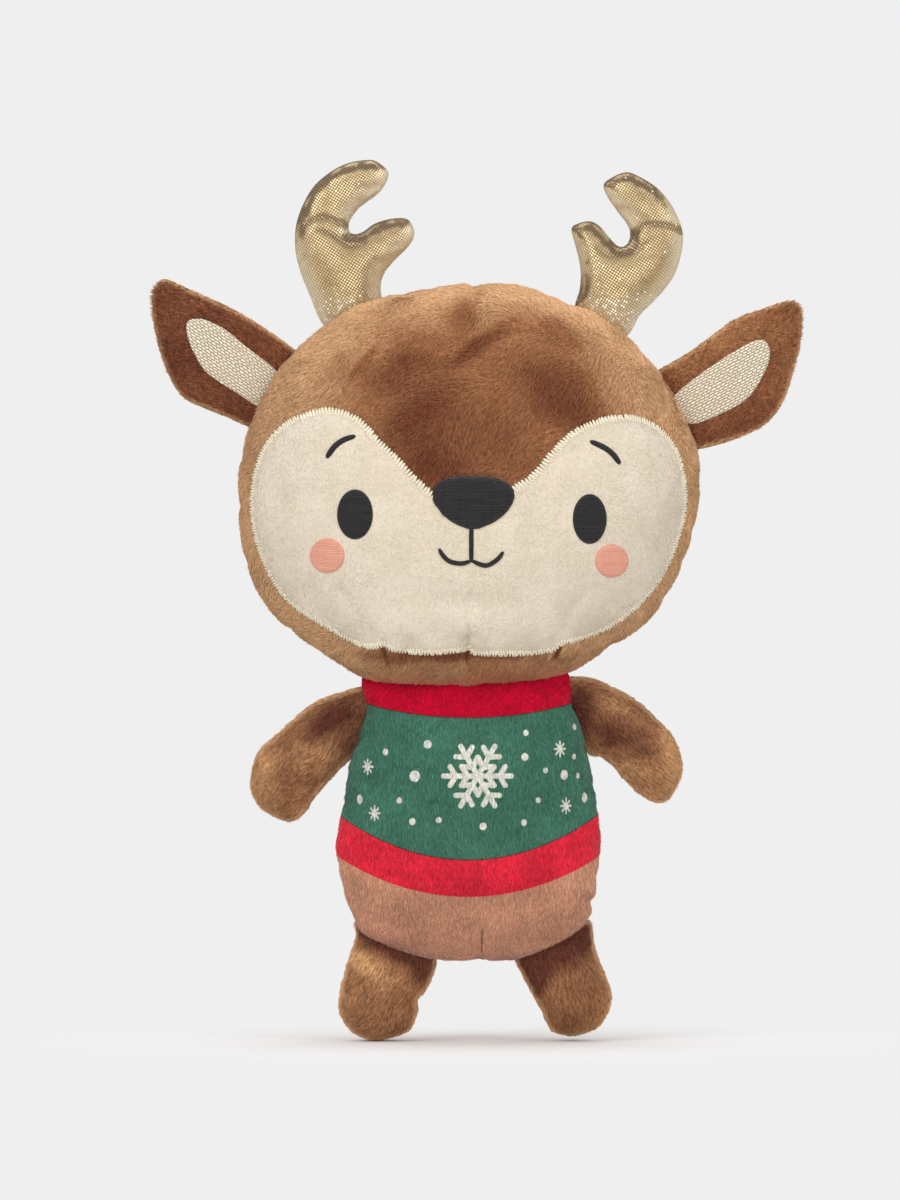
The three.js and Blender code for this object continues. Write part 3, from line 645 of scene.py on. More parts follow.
# Takes away the tufts that bare() finds from where they stand: all points of a tuft go
def clearTufts(mesh, bare):
    doomed = bare(inOutlines(getPoints(mesh))).reshape(-1, 4).any(1).repeat(4)
    work = bmesh.new()
    work.from_mesh(mesh)
    work.verts.ensure_lookup_table()
    bmesh.ops.delete(work, geom=[work.verts[i] for i in np.flatnonzero(doomed)], context="VERTS")
    work.to_mesh(mesh)
    work.free()


# A tuft catches the light much as the skin under it does, and has its own cell in a map
def finishTufts(mesh, soft):
    normals = readValues(mesh.attributes["upright"].data, "vector", 3) * soft + getNormals(mesh) * (1 - soft)
    mesh.polygons.foreach_set("use_smooth", np.ones(len(mesh.polygons), bool))
    mesh.normals_split_custom_set_from_vertices(normals / np.linalg.norm(normals, axis=1)[:, None])
    # The corners' places in a cell, for three points round the root and the tip
    cell = np.array([(0.08, 0.1), (0.92, 0.1), (0.5, 0.45), (0.5, 0.95)])
    tips = readValues(mesh.attributes["tip"].data, "value").reshape(-1, 4)
    rank = np.argsort(np.argsort(tips, axis=1, kind="stable"), axis=1, kind="stable")
    across = math.ceil(math.sqrt(len(rank)))
    number = np.arange(len(rank)).repeat(4)
    spots = (np.stack([number % across, number // across], 1) + cell[rank.ravel()]) / across
    corners = readValues(mesh.loops, "vertex_index", kind=np.int32)
    mesh.uv_layers.new(name="OFBake").uv.foreach_set("vector", spots[corners].astype(np.float32).ravel())


# Left alone, the noise that swirls the pile starts somewhere else in each run
noise.seed_set(12)


# Density is tufts to the square mm, sizes are mm; nap is the way the pile lies. covered() gives the share
# of tufts at places in mm, and bare() where none may reach
def growPile(name, skin, pile, nap, material, covered, bare):
    piece = newObject(name, skin.data.copy())
    points = getPoints(piece.data)
    swirl = np.array([noise.noise_vector(Vector(p) / (pile["swirl"] * mm)) for p in points])
    keepValues(piece.data, "nap", np.array(nap) + swirl * pile["stray"])
    cover = covered(inOutlines(points), getNormals(piece.data)) if covered else np.ones(len(points))
    keepValues(piece.data, "cover", cover)
    runTree(piece, pileGrowth, {
        "Density": pile["density"] / mm**2, "Length": pile["length"] * mm, "Width": pile["width"] * mm,
        "Rise": pile["rise"], "Spread": pile["spread"], "Seed": pile["seed"], "Plush": material,
    })
    if bare:
        clearTufts(piece.data, bare)
    finishTufts(piece.data, pile["soft"])
    print(f"{name}: {len(piece.data.polygons)} faces")
    return piece


# Materials

# Short-pile plush: knitted polyester with cut fibres about 2 mm long. The eye sees matt fabric whose fibres
# lie in brushed strokes, darker where they lie away; at the edges, where their tips catch the light, a
# painted highlight makes them paler
def plushLook(name, look, paint):
    material, add = newMaterial(name)
    # In mm, as the outlines
    spot = add("ShaderNodeMapping", {
        "Vector": add("ShaderNodeTexCoord", out="Object"), "Location": tuple(-c / mm for c in seamPlace),
        "Scale": (1 / mm,) * 3})
    drift = add("ShaderNodeTexNoise", {
        "Vector": spot, "Scale": 1 / look["driftSize"], "Detail": 3.0}, out="Color")
    shift = add("ShaderNodeVectorMath", {0: drift, 1: (0.5,) * 3}, operation="SUBTRACT")
    brushed = add("ShaderNodeVectorMath", {
        0: shift, 1: (look["drift"],) * 3, 2: spot}, operation="MULTIPLY_ADD")
    laid = add("ShaderNodeMapping", {
        "Vector": brushed, "Rotation": (0, math.radians(look["napAngle"]), 0),
        "Scale": (1.0, 1.0, look["napStretch"])})
    tufts = add("ShaderNodeTexNoise", {
        "Vector": laid, "Scale": 1 / look["tuft"], "Detail": 2.0, "Roughness": 0.55}, out="Fac")
    fibres = add("ShaderNodeTexNoise", {
        "Vector": laid, "Scale": 1 / look["fibre"], "Detail": 1.0, "Roughness": 0.6}, out="Fac")
    strokes = add("ShaderNodeTexNoise", {
        "Vector": brushed, "Scale": 1 / look["stroke"], "Detail": 2.0, "Roughness": 0.5}, out="Fac")
    stroke = add("ShaderNodeMapRange", {
        "Value": strokes, "From Min": look["strokeFrom"],
        "From Max": look["strokeTo"]}, interpolation_type="SMOOTHSTEP")
    base, depth = paint(add, spot, brushed, stroke, look)
    # The grain shows most where the fibres lie away
    contrast = add("ShaderNodeMapRange", {
        "Value": depth, "To Min": look["grainPale"], "To Max": look["grainDark"]})
    grain = add("ShaderNodeMath", {0: tufts, 1: fibres})
    uneven = add("ShaderNodeMapRange", {
        "Value": grain, "From Min": 0.82, "From Max": 1.18, "To Min": -1.0, "To Max": 1.0})
    value = add("ShaderNodeMath", {0: uneven, 1: contrast, 2: 1.0}, operation="MULTIPLY_ADD")
    axes = add("ShaderNodeSeparateXYZ", {0: spot}, out="all")
    # Painted shade in the groove along the seam plane
    offSeam = add("ShaderNodeMath", {0: axes["Y"]}, operation="ABSOLUTE")
    seam = add("ShaderNodeMapRange", {
        "Value": offSeam, "From Min": 0.15, "From Max": 0.6, "To Min": look["seamShade"], "To Max": 1.0})
    shades = [seam, look["gain"]]
    # How much single tufts differ, and how much paler they are at their tips than at their roots: painted
    # shade down at the roots and painted light on the tips
    for attribute, low, high in look["tuftShades"]:
        kept = add("ShaderNodeAttribute", attribute_name=attribute, out="Fac")
        shades.append(add("ShaderNodeMapRange", {"Value": kept, "To Min": low, "To Max": high}))
    for shade in shades:
        value = add("ShaderNodeMath", {0: value, 1: shade}, operation="MULTIPLY")
    tinted = add("ShaderNodeVectorMath", {0: base, "Scale": value}, operation="SCALE")
    relief = add("ShaderNodeBump", {
        "Height": grain, "Strength": look["relief"], "Distance": look["pile"] * mm})
    shader = add("ShaderNodeBsdfPrincipled", {
        "Base Color": tinted, "Roughness": 0.95, "Specular IOR Level": 0.15, "Normal": relief,
        "Sheen Weight": look["sheen"], "Sheen Roughness": look["sheenSpread"],
        "Sheen Tint": linear(look["sheenTint"])})
    add("ShaderNodeOutputMaterial", {"Surface": shader})
    return material


# Pale to mid to dark as the fibres turn away
def threeShades(add, depth, look):
    colour = linear(look["pale"])
    for start, shade in ((0.0, "mid"), (0.5, "dark")):
        part = add("ShaderNodeMapRange", {"Value": depth, "From Min": start, "From Max": start + 0.5})
        colour = add("ShaderNodeMix", {
            "Factor": part, "A": colour, "B": linear(look[shade])}, data_type="RGBA", out="Result")
    return colour


# Places where a hand has brushed the pile, and places with painted shade in folds and under other parts or
# painted highlights on ridges and edges; each an oval: x, z, half length, half width, turn in degrees, how
# far the fibres lie away there or how dark the painted shade is, and how soft its edge is
def brushedPaint(add, spot, brushed, stroke, look):
    depth = look["depth"]
    for x, z, long, wide, turn, level, soft in look["patches"]:
        local = add("ShaderNodeMapping", {
            "Vector": brushed, "Location": (x, look["patchSide"], z), "Rotation": (0, -math.radians(turn), 0),
            "Scale": (long, look["patchReach"], wide)}, vector_type="TEXTURE")
        gap = add("ShaderNodeVectorMath", {0: local}, operation="LENGTH", out="Value")
        patch = add("ShaderNodeMapRange", {
            "Value": gap, "From Min": 1 + soft, "From Max": 1 - soft}, interpolation_type="SMOOTHSTEP")
        depth = add("ShaderNodeMix", {
            "Factor": patch, "A": depth, "B": level}, data_type="FLOAT", out="Result")
    depth = add("ShaderNodeMath", {0: stroke, 1: look["strokeShare"], 2: depth}, operation="MULTIPLY_ADD")
    colour = threeShades(add, depth, look)
    # A painted highlight near the seam, where the tips catch the light
    if look["paleRim"]:
        panel = add("ShaderNodeAttribute", attribute_name="panelPlace", out="Vector")
        rimGap = add("ShaderNodeSeparateXYZ", {0: panel}, out="Z")
        near = add("ShaderNodeMapRange", {
            "Value": rimGap, "From Min": look["paleRim"], "From Max": 0.0, "To Max": 0.75},
            interpolation_type="SMOOTHSTEP")
        colour = add("ShaderNodeMix", {
            "Factor": near, "A": colour, "B": linear(look["rim"])}, data_type="RGBA", out="Result")
    return colour, depth


# Colours, sizes in mm, angles in degrees and shares. The rest go out from the limbs' plush
limbPlush = {
    "pale": "#c5976b", "mid": "#8e6345", "dark": "#5c3428",
    "rim": "#cfa57c", "paleRim": 1.6,  # a painted highlight where the tips catch the light beside the seam: its colour, and how far in
    "napAngle": -52, "napStretch": 0.36,
    "tuft": 0.78, "fibre": 0.4, "pile": 0.8, "relief": 0.9,
    "grainPale": 0.34, "grainDark": 0.42,  # how much the grain shows on pale and on dark fibres
    "stroke": 10.0, "strokeFrom": 0.25, "strokeTo": 0.75, "strokeShare": 0.25,
    "drift": 7.0, "driftSize": 16.0,  # how far the brushed strokes stray, and over what distance
    "seamShade": 0.5, "gain": 1.0, "tuftShades": [],
    "sheen": 0.8, "sheenSpread": 0.3, "sheenTint": "#e3b184",
    "depth": 0.3,  # how far the fibres lie away outside the patches
    "patchSide": 0.0, "patchReach": 1000.0,  # where the patches lie from front to back, and how deep
    "patches": [
        # right arm: root, painted shade in the fold below it, then the hand, with a painted highlight on its
        # outer edge
        (-36, 104, 12, 5, 25, 0.55, 0.8), (-41, 96.5, 8, 2.8, 36, 0.95, 0.95), (-33, 92, 5, 8, 0, 0.7, 0.9),
        (-62, 80, 5, 12, 0, 0.0, 0.8), (-52, 80, 6, 5, 20, 0.4, 0.9),
        # left arm: painted shade at the root and in its fold, a painted highlight on its outer edge, then the
        # hand
        (33, 100, 5, 7, 0, 0.85, 0.8), (43, 92, 10, 3.6, -22, 0.8, 0.9), (61, 84, 4, 11, 0, -0.1, 0.8),
        (52, 78, 9, 5, -40, 0.15, 0.9),
        # right leg: painted shade under the body, a painted highlight on a ridge, then the foot
        (-24, 30, 14, 4, -24, 0.95, 0.5), (-32.5, 24.5, 7, 2.2, -30, -0.2, 0.8),
        (-13, 23, 5, 6, -10, 0.85, 0.7), (-26, 10, 9, 8, 0, 0.35, 0.8),
        # left leg: painted shade under the body, then the foot
        (27, 29, 15, 7, 28, 1.0, 0.6), (20, 20, 5, 8, -25, 1.1, 0.8), (33, 11, 9, 8, 0, 0.45, 0.8),
    ],
}
earPlush = {
    **limbPlush, "pale": "#9b6b48", "mid": "#7a4b32", "dark": "#5e3325", "rim": "#c49a70", "paleRim": 2.0,
    "depth": 0.6,
    "patches": [
        (-85, 222, 8, 5, 40, 0.5, 0.7), (78, 206, 26, 24, 0, 0.2, 0.6), (78, 212, 16, 4, 30, -0.1, 0.8),
        (94, 215, 6, 8, 0, 0.2, 0.8),
    ],
}
headPlush = {
    **limbPlush, "pale": "#d0a57b", "mid": "#956544", "dark": "#6c3d29", "paleRim": 0, "napAngle": -35,
    "stroke": 13.0, "strokeShare": 0.14, "grainPale": 0.12, "grainDark": 0.4, "depth": 0.0, "sheen": 0.5,
    "patchSide": -40.0, "patchReach": 42.0,
    "patches": [
        (2, 193, 46, 29, 0, 0.32, 0.45), (3, 185, 34, 27, 0, 0.5, 0.6), (-13, 184, 9, 13, -25, 0.9, 0.8),
        (-9, 172, 9, 7, 0, 0.95, 0.8), (9, 178, 12, 13, 0, 0.6, 0.8), (-18.5, 199, 9, 6, 10, 0.78, 0.5),
        (2.5, 207, 12, 2.2, 30, 0.85, 0.6), (-1.5, 217, 4, 6, 0, 0.5, 0.5),
        (27, 197, 9, 6, -20, 0.8, 0.8), (30, 190, 12, 6, -35, 0.85, 0.8), (26, 211, 8, 4, -20, 0.5, 0.7),
        # (-8, 116) is painted shadow under the face panel's lower edge; (-50, 122) and (50, 122) are painted
        # highlights on the jaw's sides
        (-31, 203, 4, 1.6, 50, 0.6, 0.8), (0, 113, 40, 6, 0, 0.25, 0.6), (-8, 116, 20, 1.6, 0, 0.75, 0.8),
        (-50, 122, 16, 5, -40, -0.5, 0.8), (50, 122, 16, 5, 40, -0.3, 0.8),
        # painted shade in the chin's darts
        (0.0, 117, 3, 0.5, 90, 1.1, 0.9), (-24.6, 117, 3, 0.6, 115, 1.0, 0.9),
        (26.0, 117, 3, 0.5, 65, 1.0, 0.9),
    ],
}
creamPlush = {
    **limbPlush, "pale": "#e8dcca", "mid": "#e5d8c4", "dark": "#e0d3bd", "paleRim": 0, "grainPale": 0.05,
    "grainDark": 0.05, "napAngle": 60, "tuft": 0.8, "relief": 0.2, "pile": 0.5, "sheen": 0.12,
    "sheenTint": "#fff3e0", "depth": 0.0, "strokeShare": 1.0, "patches": [(0, 165, 34, 24, 0, 0.7, 0.7)],
}

headMaterial = plushLook("brown_short_pile_plush", headPlush, brushedPaint)
limbMaterial = plushLook("brown_limb_plush", limbPlush, brushedPaint)
earMaterial = plushLook("brown_ear_plush", earPlush, brushedPaint)
creamMaterial = plushLook("cream_short_pile_plush", creamPlush, brushedPaint)
# The same plush on its single tufts, which shade each other and so are a little paler
inPile = {
    "relief": 0.0, "seamShade": 0.9, "gain": 1.3, "grainPale": 0.16, "grainDark": 0.22,
    "tuftShades": [("tint", 0.6, 1.42), ("tip", 0.62, 1.38)],
}
headPile = plushLook("brown_head_pile", {
    **headPlush, **inPile, "tuftShades": [("tint", 0.8, 1.2), ("tip", 0.74, 1.26)]}, brushedPaint)
limbPile = plushLook("brown_limb_pile", {**limbPlush, **inPile}, brushedPaint)
earPile = plushLook("brown_ear_pile", {**earPlush, **inPile}, brushedPaint)
creamPile = plushLook("cream_pile", {
    **creamPlush, **inPile, "gain": 1.17, "grainPale": 0.0, "grainDark": 0.02,
    "tuftShades": [("tint", 0.975, 1.025), ("tip", 0.96, 1.03)]}, brushedPaint)

# The jumper, printed on the body's plush. A border has its height in the middle and how it rises to the
# sides; the motifs are placed as seen from the front, and widen with the surface where it turns away
jumper = {
    "collarEdge": (96.9, 0.0042), "hemTop": (54.3, 0.0085), "hemBottom": (43.1, 0.0075), "borderWidth": 0.3,
    "collar": "#c1082f", "green": "#457561", "hem": "#df2c41", "belly": "#ca9377", "print": "#dddad0",
    "border": "#3a2a24",
    "round": 41.4,  # half the width that the print goes round
    "dart": {"X": (4.1, 0.0), "Z": (29.5, 3.4)},  # its middle and half its length
    # x, z and radius
    "dots": [
        (-12.2, 89.0, 1.25), (-24.9, 86.6, 1.02), (-16.1, 79.4, 1.68), (-32.7, 72.3, 1.4),
        (-20.7, 72.1, 0.92), (-16.8, 65.8, 1.05), (-8.9, 66.3, 0.9), (4.4, 64.4, 1.1), (16.7, 65.5, 0.95),
        (21.0, 72.2, 0.86), (17.3, 92.4, 0.9), (17.0, 85.2, 1.15), (23.2, 81.1, 0.86), (28.9, 79.7, 1.5),
        (33.0, 79.4, 0.84), (31.9, 85.1, 0.84), (32.1, 94.0, 0.9), (35.1, 72.7, 1.5),
    ],
    "stars": [(-30.3, 82.1), (-28.2, 68.2), (27.6, 87.5), (29.4, 70.4)],
    "star": {"arms": 8, "reach": 2.15, "line": 0.3, "middle": 1.15, "branches": []},
    "flakes": [(2.85, 79.5)],
    # A branch goes from a spot on the arm to its tip
    "flake": {
        "arms": 6, "reach": 10.3, "line": 0.78, "middle": 0.78,
        "branches": [((3.0, 0.0), (4.9, 2.8)), ((6.6, 0.0), (8.3, 2.8))],
    },
}


def jumperPrint(add, spot, brushed, stroke, look):
    # The outlines were measured in the picture, where the body's front is a hundredth nearer than the seam
    # plane
    middleX, middleZ = shot["middle"]
    spot = add("ShaderNodeMapping", {
        "Vector": spot, "Location": (-0.01 * middleX, 0, -0.01 * middleZ), "Scale": (1.01, 1, 1.01)})
    axes = add("ShaderNodeSeparateXYZ", {0: spot}, out="all")
    squared = add("ShaderNodeMath", {0: axes["X"], 1: axes["X"]}, operation="MULTIPLY")
    colour = linear(jumper["belly"])
    borders = 0.0
    for edge, ink in (("hemBottom", "hem"), ("hemTop", "green"), ("collarEdge", "collar")):
        middle, rise = jumper[edge]
        line = add("ShaderNodeMath", {0: squared, 1: rise, 2: middle}, operation="MULTIPLY_ADD")
        over = add("ShaderNodeMath", {0: axes["Z"], 1: line}, operation="SUBTRACT")
        above = add("ShaderNodeMapRange", {"Value": over, "From Min": -0.15, "From Max": 0.15})
        colour = add("ShaderNodeMix", {
            "Factor": above, "A": colour, "B": linear(jumper[ink])}, data_type="RGBA", out="Result")
        away = add("ShaderNodeMath", {0: over}, operation="ABSOLUTE")
        border = add("ShaderNodeMapRange", {
            "Value": away, "From Min": jumper["borderWidth"], "From Max": 0.1, "To Max": 0.7})
        if edge != "hemBottom":
            borders = add("ShaderNodeMath", {0: borders, 1: border}, operation="MAXIMUM")
    # The short dart at the bottom
    outside = []
    for axis, (middle, half) in jumper["dart"].items():
        away = add("ShaderNodeMath", {0: axes[axis], 1: middle}, operation="SUBTRACT")
        away = add("ShaderNodeMath", {0: away}, operation="ABSOLUTE")
        outside.append(add("ShaderNodeMath", {0: away, 1: half}, operation="SUBTRACT"))
    away = add("ShaderNodeMath", {0: outside[0], 1: outside[1]}, operation="MAXIMUM")
    dart = add("ShaderNodeMapRange", {"Value": away, "From Min": 0.45, "From Max": 0.15, "To Max": 0.55})
    borders = add("ShaderNodeMath", {0: borders, 1: dart}, operation="MAXIMUM")
    colour = add("ShaderNodeMix", {
        "Factor": borders, "A": colour, "B": linear(jumper["border"])}, data_type="RGBA", out="Result")

    # Distance to the nearest motif, on the cloth as it lies round the body
    share = add("ShaderNodeMath", {0: axes["X"], 1: jumper["round"]}, operation="DIVIDE")
    turn = add("ShaderNodeMath", {0: share}, operation="ARCSINE")
    across = add("ShaderNodeMath", {0: turn, 1: jumper["round"]}, operation="MULTIPLY")
    cloth = add("ShaderNodeCombineXYZ", {"X": across, "Y": axes["Z"]})
    onCloth = lambda x, z: (jumper["round"] * math.asin(x / jumper["round"]), z, 0)
    # The distances to the motifs' middles or lines, each with how far the ink reaches from there
    inks = []
    for x, z, radius in jumper["dots"]:
        gap = add("ShaderNodeVectorMath", {0: cloth, 1: onCloth(x, z)}, operation="DISTANCE", out="Value")
        inks.append((gap, radius))
    figures = [(*middle, jumper[kind]) for kind in ("star", "flake") for middle in jumper[kind + "s"]]
    for x, z, figure in figures:
        local = add("ShaderNodeVectorMath", {0: cloth, 1: onCloth(x, z)}, operation="SUBTRACT")
        parts = add("ShaderNodeSeparateXYZ", {0: local}, out="all")
        far = add("ShaderNodeVectorMath", {0: local}, operation="LENGTH", out="Value")
        angle = add("ShaderNodeMath", {0: parts["Y"], 1: parts["X"]}, operation="ARCTAN2")
        folded = add("ShaderNodeMath", {0: angle, 1: math.pi / figure["arms"]}, operation="PINGPONG")
        unit = add("ShaderNodeCombineXYZ", {
            "X": add("ShaderNodeMath", {0: folded}, operation="COSINE"),
            "Y": add("ShaderNodeMath", {0: folded}, operation="SINE")})
        arm = add("ShaderNodeVectorMath", {0: unit, "Scale": far}, operation="SCALE")
        inks.append((far, figure["middle"]))
        for start, end in [((0, 0), (figure["reach"], 0))] + figure["branches"]:
            length = math.dist(start, end)
            slope = math.atan2(end[1] - start[1], end[0] - start[0])
            along = add("ShaderNodeMapping", {
                "Vector": arm, "Location": (*start, 0), "Rotation": (0, 0, slope)}, vector_type="TEXTURE")
            onLine = add("ShaderNodeSeparateXYZ", {0: along}, out="all")
            foot = add("ShaderNodeClamp", {"Value": onLine["X"], "Min": 0.0, "Max": length})
            foot = add("ShaderNodeCombineXYZ", {"X": foot})
            gap = add("ShaderNodeVectorMath", {0: along, 1: foot}, operation="DISTANCE", out="Value")
            inks.append((gap, figure["line"]))
    nearest = 9.0
    for gap, reach in inks:
        gap = add("ShaderNodeMath", {0: gap, 1: reach}, operation="SUBTRACT")
        nearest = add("ShaderNodeMath", {0: nearest, 1: gap}, operation="MINIMUM")
    ragged = add("ShaderNodeTexNoise", {"Vector": spot, "Scale": 2.2, "Detail": 1.0}, out="Fac")
    nearest = add("ShaderNodeMath", {0: ragged, 1: 0.3, 2: nearest}, operation="MULTIPLY_ADD")
    inked = add("ShaderNodeMapRange", {"Value": nearest, "From Min": 0.28, "From Max": 0.04})
    front = add("ShaderNodeMath", {0: axes["Y"], 1: 0.0}, operation="LESS_THAN")
    inked = add("ShaderNodeMath", {0: inked, 1: front}, operation="MULTIPLY")
    worn = add("ShaderNodeMapRange", {"Value": stroke, "To Min": 1.1, "To Max": 0.84})
    colour = add("ShaderNodeVectorMath", {0: colour, "Scale": worn}, operation="SCALE")
    # Painted sheen: the print is paler towards the sides, where the body turns away
    side = add("ShaderNodeMath", {0: share}, operation="ABSOLUTE")
    side = add("ShaderNodeMapRange", {
        "Value": side, "From Min": 0.45, "From Max": 0.9, "To Min": 1.0, "To Max": 1.14})
    colour = add("ShaderNodeVectorMath", {0: colour, "Scale": side}, operation="SCALE")
    colour = add("ShaderNodeMix", {
        "Factor": inked, "A": colour, "B": linear(jumper["print"])}, data_type="RGBA", out="Result")
    return colour, stroke


bodyPlush = {
    **limbPlush, "napAngle": 8, "napStretch": 0.22, "stroke": 11.0, "tuft": 0.55, "fibre": 0.35, "drift": 3.0,
    "grainPale": 0.13, "grainDark": 0.18, "relief": 0.5,
    "pile": 0.6, "sheen": 0.3, "sheenTint": "#f2e2dc",
}
bodyMaterial = plushLook("printed_short_pile_plush", bodyPlush, jumperPrint)
bodyPile = plushLook("printed_pile", {
    **bodyPlush, **inPile, "gain": 1.2,
    "tuftShades": [("tint", 0.78, 1.22), ("tip", 0.78, 1.22)]}, jumperPrint)


# Embroidery: rayon thread in parallel rows, which the eye sees as fine ribs with a soft shine. The
# attribute threadPlace holds mm along and across the thread
def threadLook(name, look):
    material, add = newMaterial(name)
    spot = add("ShaderNodeAttribute", attribute_name="threadPlace", out="Vector")
    waver = add("ShaderNodeTexNoise", {"Vector": spot, "Scale": 0.5, "Detail": 2.0}, out="Color")
    spot = add("ShaderNodeVectorMath", {0: waver, 1: (look["waver"],) * 3, 2: spot}, operation="MULTIPLY_ADD")
    rows = add("ShaderNodeTexBrick", {
        "Vector": spot, "Scale": 1.0, "Brick Width": look["stitch"], "Row Height": look["thread"],
        "Mortar Size": look["thread"] * 0.3, "Mortar Smooth": 1.0, "Color1": linear(look["pale"]),
        "Color2": linear(look["deep"]), "Mortar": linear(look["gap"])}, offset=0.37, squash=1.0, out="all")
    low = add("ShaderNodeMath", {0: 1.0, 1: rows["Fac"]}, operation="SUBTRACT")
    relief = add("ShaderNodeBump", {
        "Height": low, "Strength": look["relief"], "Distance": look["thread"] * 0.5 * mm})
    shader = add("ShaderNodeBsdfPrincipled", {
        "Base Color": rows["Color"], "Roughness": look["roughness"], "Specular IOR Level": 0.3,
        "Normal": relief, "Sheen Weight": 0.2, "Sheen Roughness": 0.4})
    add("ShaderNodeOutputMaterial", {"Surface": shader})
    return material


# The thread's width, the stitch's length and how far the rows waver are in mm
rayon = {"thread": 0.5, "stitch": 6.0, "waver": 0.5, "relief": 0.5, "roughness": 0.6}
blackThread = threadLook("black_rayon_thread", {
    **rayon, "pale": "#292526", "deep": "#1a1718", "gap": "#0c0b0b",
    "stitch": 7.0, "waver": 0.6, "relief": 0.9})
pinkThread = threadLook("pink_rayon_thread", {
    **rayon, "pale": "#f0b096", "deep": "#e6a088", "gap": "#d9927b"})
creamThread = threadLook("cream_rayon_thread", {
    **rayon, "pale": "#fbf3e0", "deep": "#f3e8d0", "gap": "#e0d3b4",
    "stitch": 3.0, "waver": 0.3, "relief": 0.4})
earThread = threadLook("cream_embroidery_fill", {
    **rayon, "pale": "#fff4e0", "deep": "#f2e4ca", "gap": "#cab592",
    "thread": 0.75, "stitch": 1.6, "relief": 1.0, "roughness": 0.75})

# Foil-dot fabric: a knit with small dots of gold foil pressed on in slanted rows, 0.8 mm apart. Each dot
# lies a little differently, so that some catch the light, and a few are painted near white as glints; between
# them the beige cloth shows. panelPlace is mm on the flat panel
foil = {
    "pitch": 0.78, "dot": 0.37,  # mm between dots, and a dot's radius as a share of that
    "turn": 32,
    # darkGold and darkCloth are painted shade, paleGold and paleCloth painted reflection
    "gold": "#d2ba90", "wear": "#b79f77", "darkGold": "#8a7459", "paleGold": "#e8dcc2", "glint": "#fffbe6",
    "cloth": "#826c49", "darkCloth": "#504131", "paleCloth": "#c2ac84",
    "roughness": 0.36, "tilt": 0.13,
    "flashes": (0.3, 0.004),  # share of the dots with a painted glint by the head, and elsewhere
    "root": (225.0, 218.0),  # heights between which the painted glints by the head begin
}
goldFoil, add = newMaterial("gold_foil_dot_fabric")
panel = add("ShaderNodeAttribute", attribute_name="panelPlace", out="Vector")
lattice = add("ShaderNodeMapping", {
    "Vector": panel, "Rotation": (0, 0, math.radians(foil["turn"])), "Scale": (1 / foil["pitch"],) * 3})
cells = add("ShaderNodeTexVoronoi", {
    "Vector": lattice, "Scale": 1.0, "Randomness": 0.0}, voronoi_dimensions="2D", out="all")
dot = add("ShaderNodeMapRange", {
    "Value": cells["Distance"], "From Min": foil["dot"] + 0.08, "From Max": foil["dot"] - 0.04})
# Large soft patches where the gold is darker
rubbed = add("ShaderNodeTexNoise", {"Vector": panel, "Scale": 0.11, "Detail": 2.0}, out="Fac")
rubbed = add("ShaderNodeMapRange", {"Value": rubbed, "From Min": 0.42, "From Max": 0.62})
gold = add("ShaderNodeMix", {
    "Factor": rubbed, "A": linear(foil["gold"]), "B": linear(foil["wear"])}, data_type="RGBA", out="Result")
# Painted shade, and painted reflection where the kept value is below 0
shadow = add("ShaderNodeAttribute", attribute_name="foilShadow", out="Fac")
glow = add("ShaderNodeMath", {0: shadow, 1: -1.0}, operation="MULTIPLY")
tones = {"Gold": gold, "Cloth": linear(foil["cloth"])}
for part in tones:
    for share, ending in ((shadow, "dark"), (glow, "pale")):
        tone = linear(foil[ending + part])
        tones[part] = add("ShaderNodeMix", {
            "Factor": share, "A": tones[part], "B": tone}, data_type="RGBA", out="Result")
# Painted glints: some dots by the root, and a few elsewhere, are painted near white
height = add("ShaderNodeSeparateXYZ", {0: panel}, out="Y")
lucky = add("ShaderNodeSeparateColor", {0: cells["Color"]})
flash = add("ShaderNodeMapRange", {"Value": height, "From Min": foil["root"][0], "From Max": foil["root"][1]})
flash = add("ShaderNodeMath", {
    0: flash, 1: foil["flashes"][0], 2: foil["flashes"][1]}, operation="MULTIPLY_ADD")
flash = add("ShaderNodeMath", {0: lucky, 1: flash}, operation="LESS_THAN")
gold = add("ShaderNodeMix", {
    "Factor": flash, "A": tones["Gold"], "B": linear(foil["glint"])}, data_type="RGBA", out="Result")
shade = add("ShaderNodeMix", {"Factor": dot, "A": tones["Cloth"], "B": gold}, data_type="RGBA", out="Result")
metal = add("ShaderNodeMath", {0: dot, 1: 0.85}, operation="MULTIPLY")
dull = add("ShaderNodeMapRange", {"Value": dot, "To Min": 0.8, "To Max": foil["roughness"]})
lean = add("ShaderNodeVectorMath", {0: cells["Color"], 1: (0.5,) * 3}, operation="SUBTRACT")
upright = add("ShaderNodeNewGeometry", out="Normal")
leaning = add("ShaderNodeVectorMath", {0: lean, 1: (foil["tilt"],) * 3, 2: upright}, operation="MULTIPLY_ADD")
leaning = add("ShaderNodeVectorMath", {0: leaning}, operation="NORMALIZE")
raised = add("ShaderNodeBump", {"Height": dot, "Strength": 0.5, "Distance": 0.12 * mm, "Normal": leaning})
shader = add("ShaderNodeBsdfPrincipled", {
    "Base Color": shade, "Roughness": dull, "Metallic": metal, "Normal": raised})
add("ShaderNodeOutputMaterial", {"Surface": shader})
print("materials made")

# Head and body

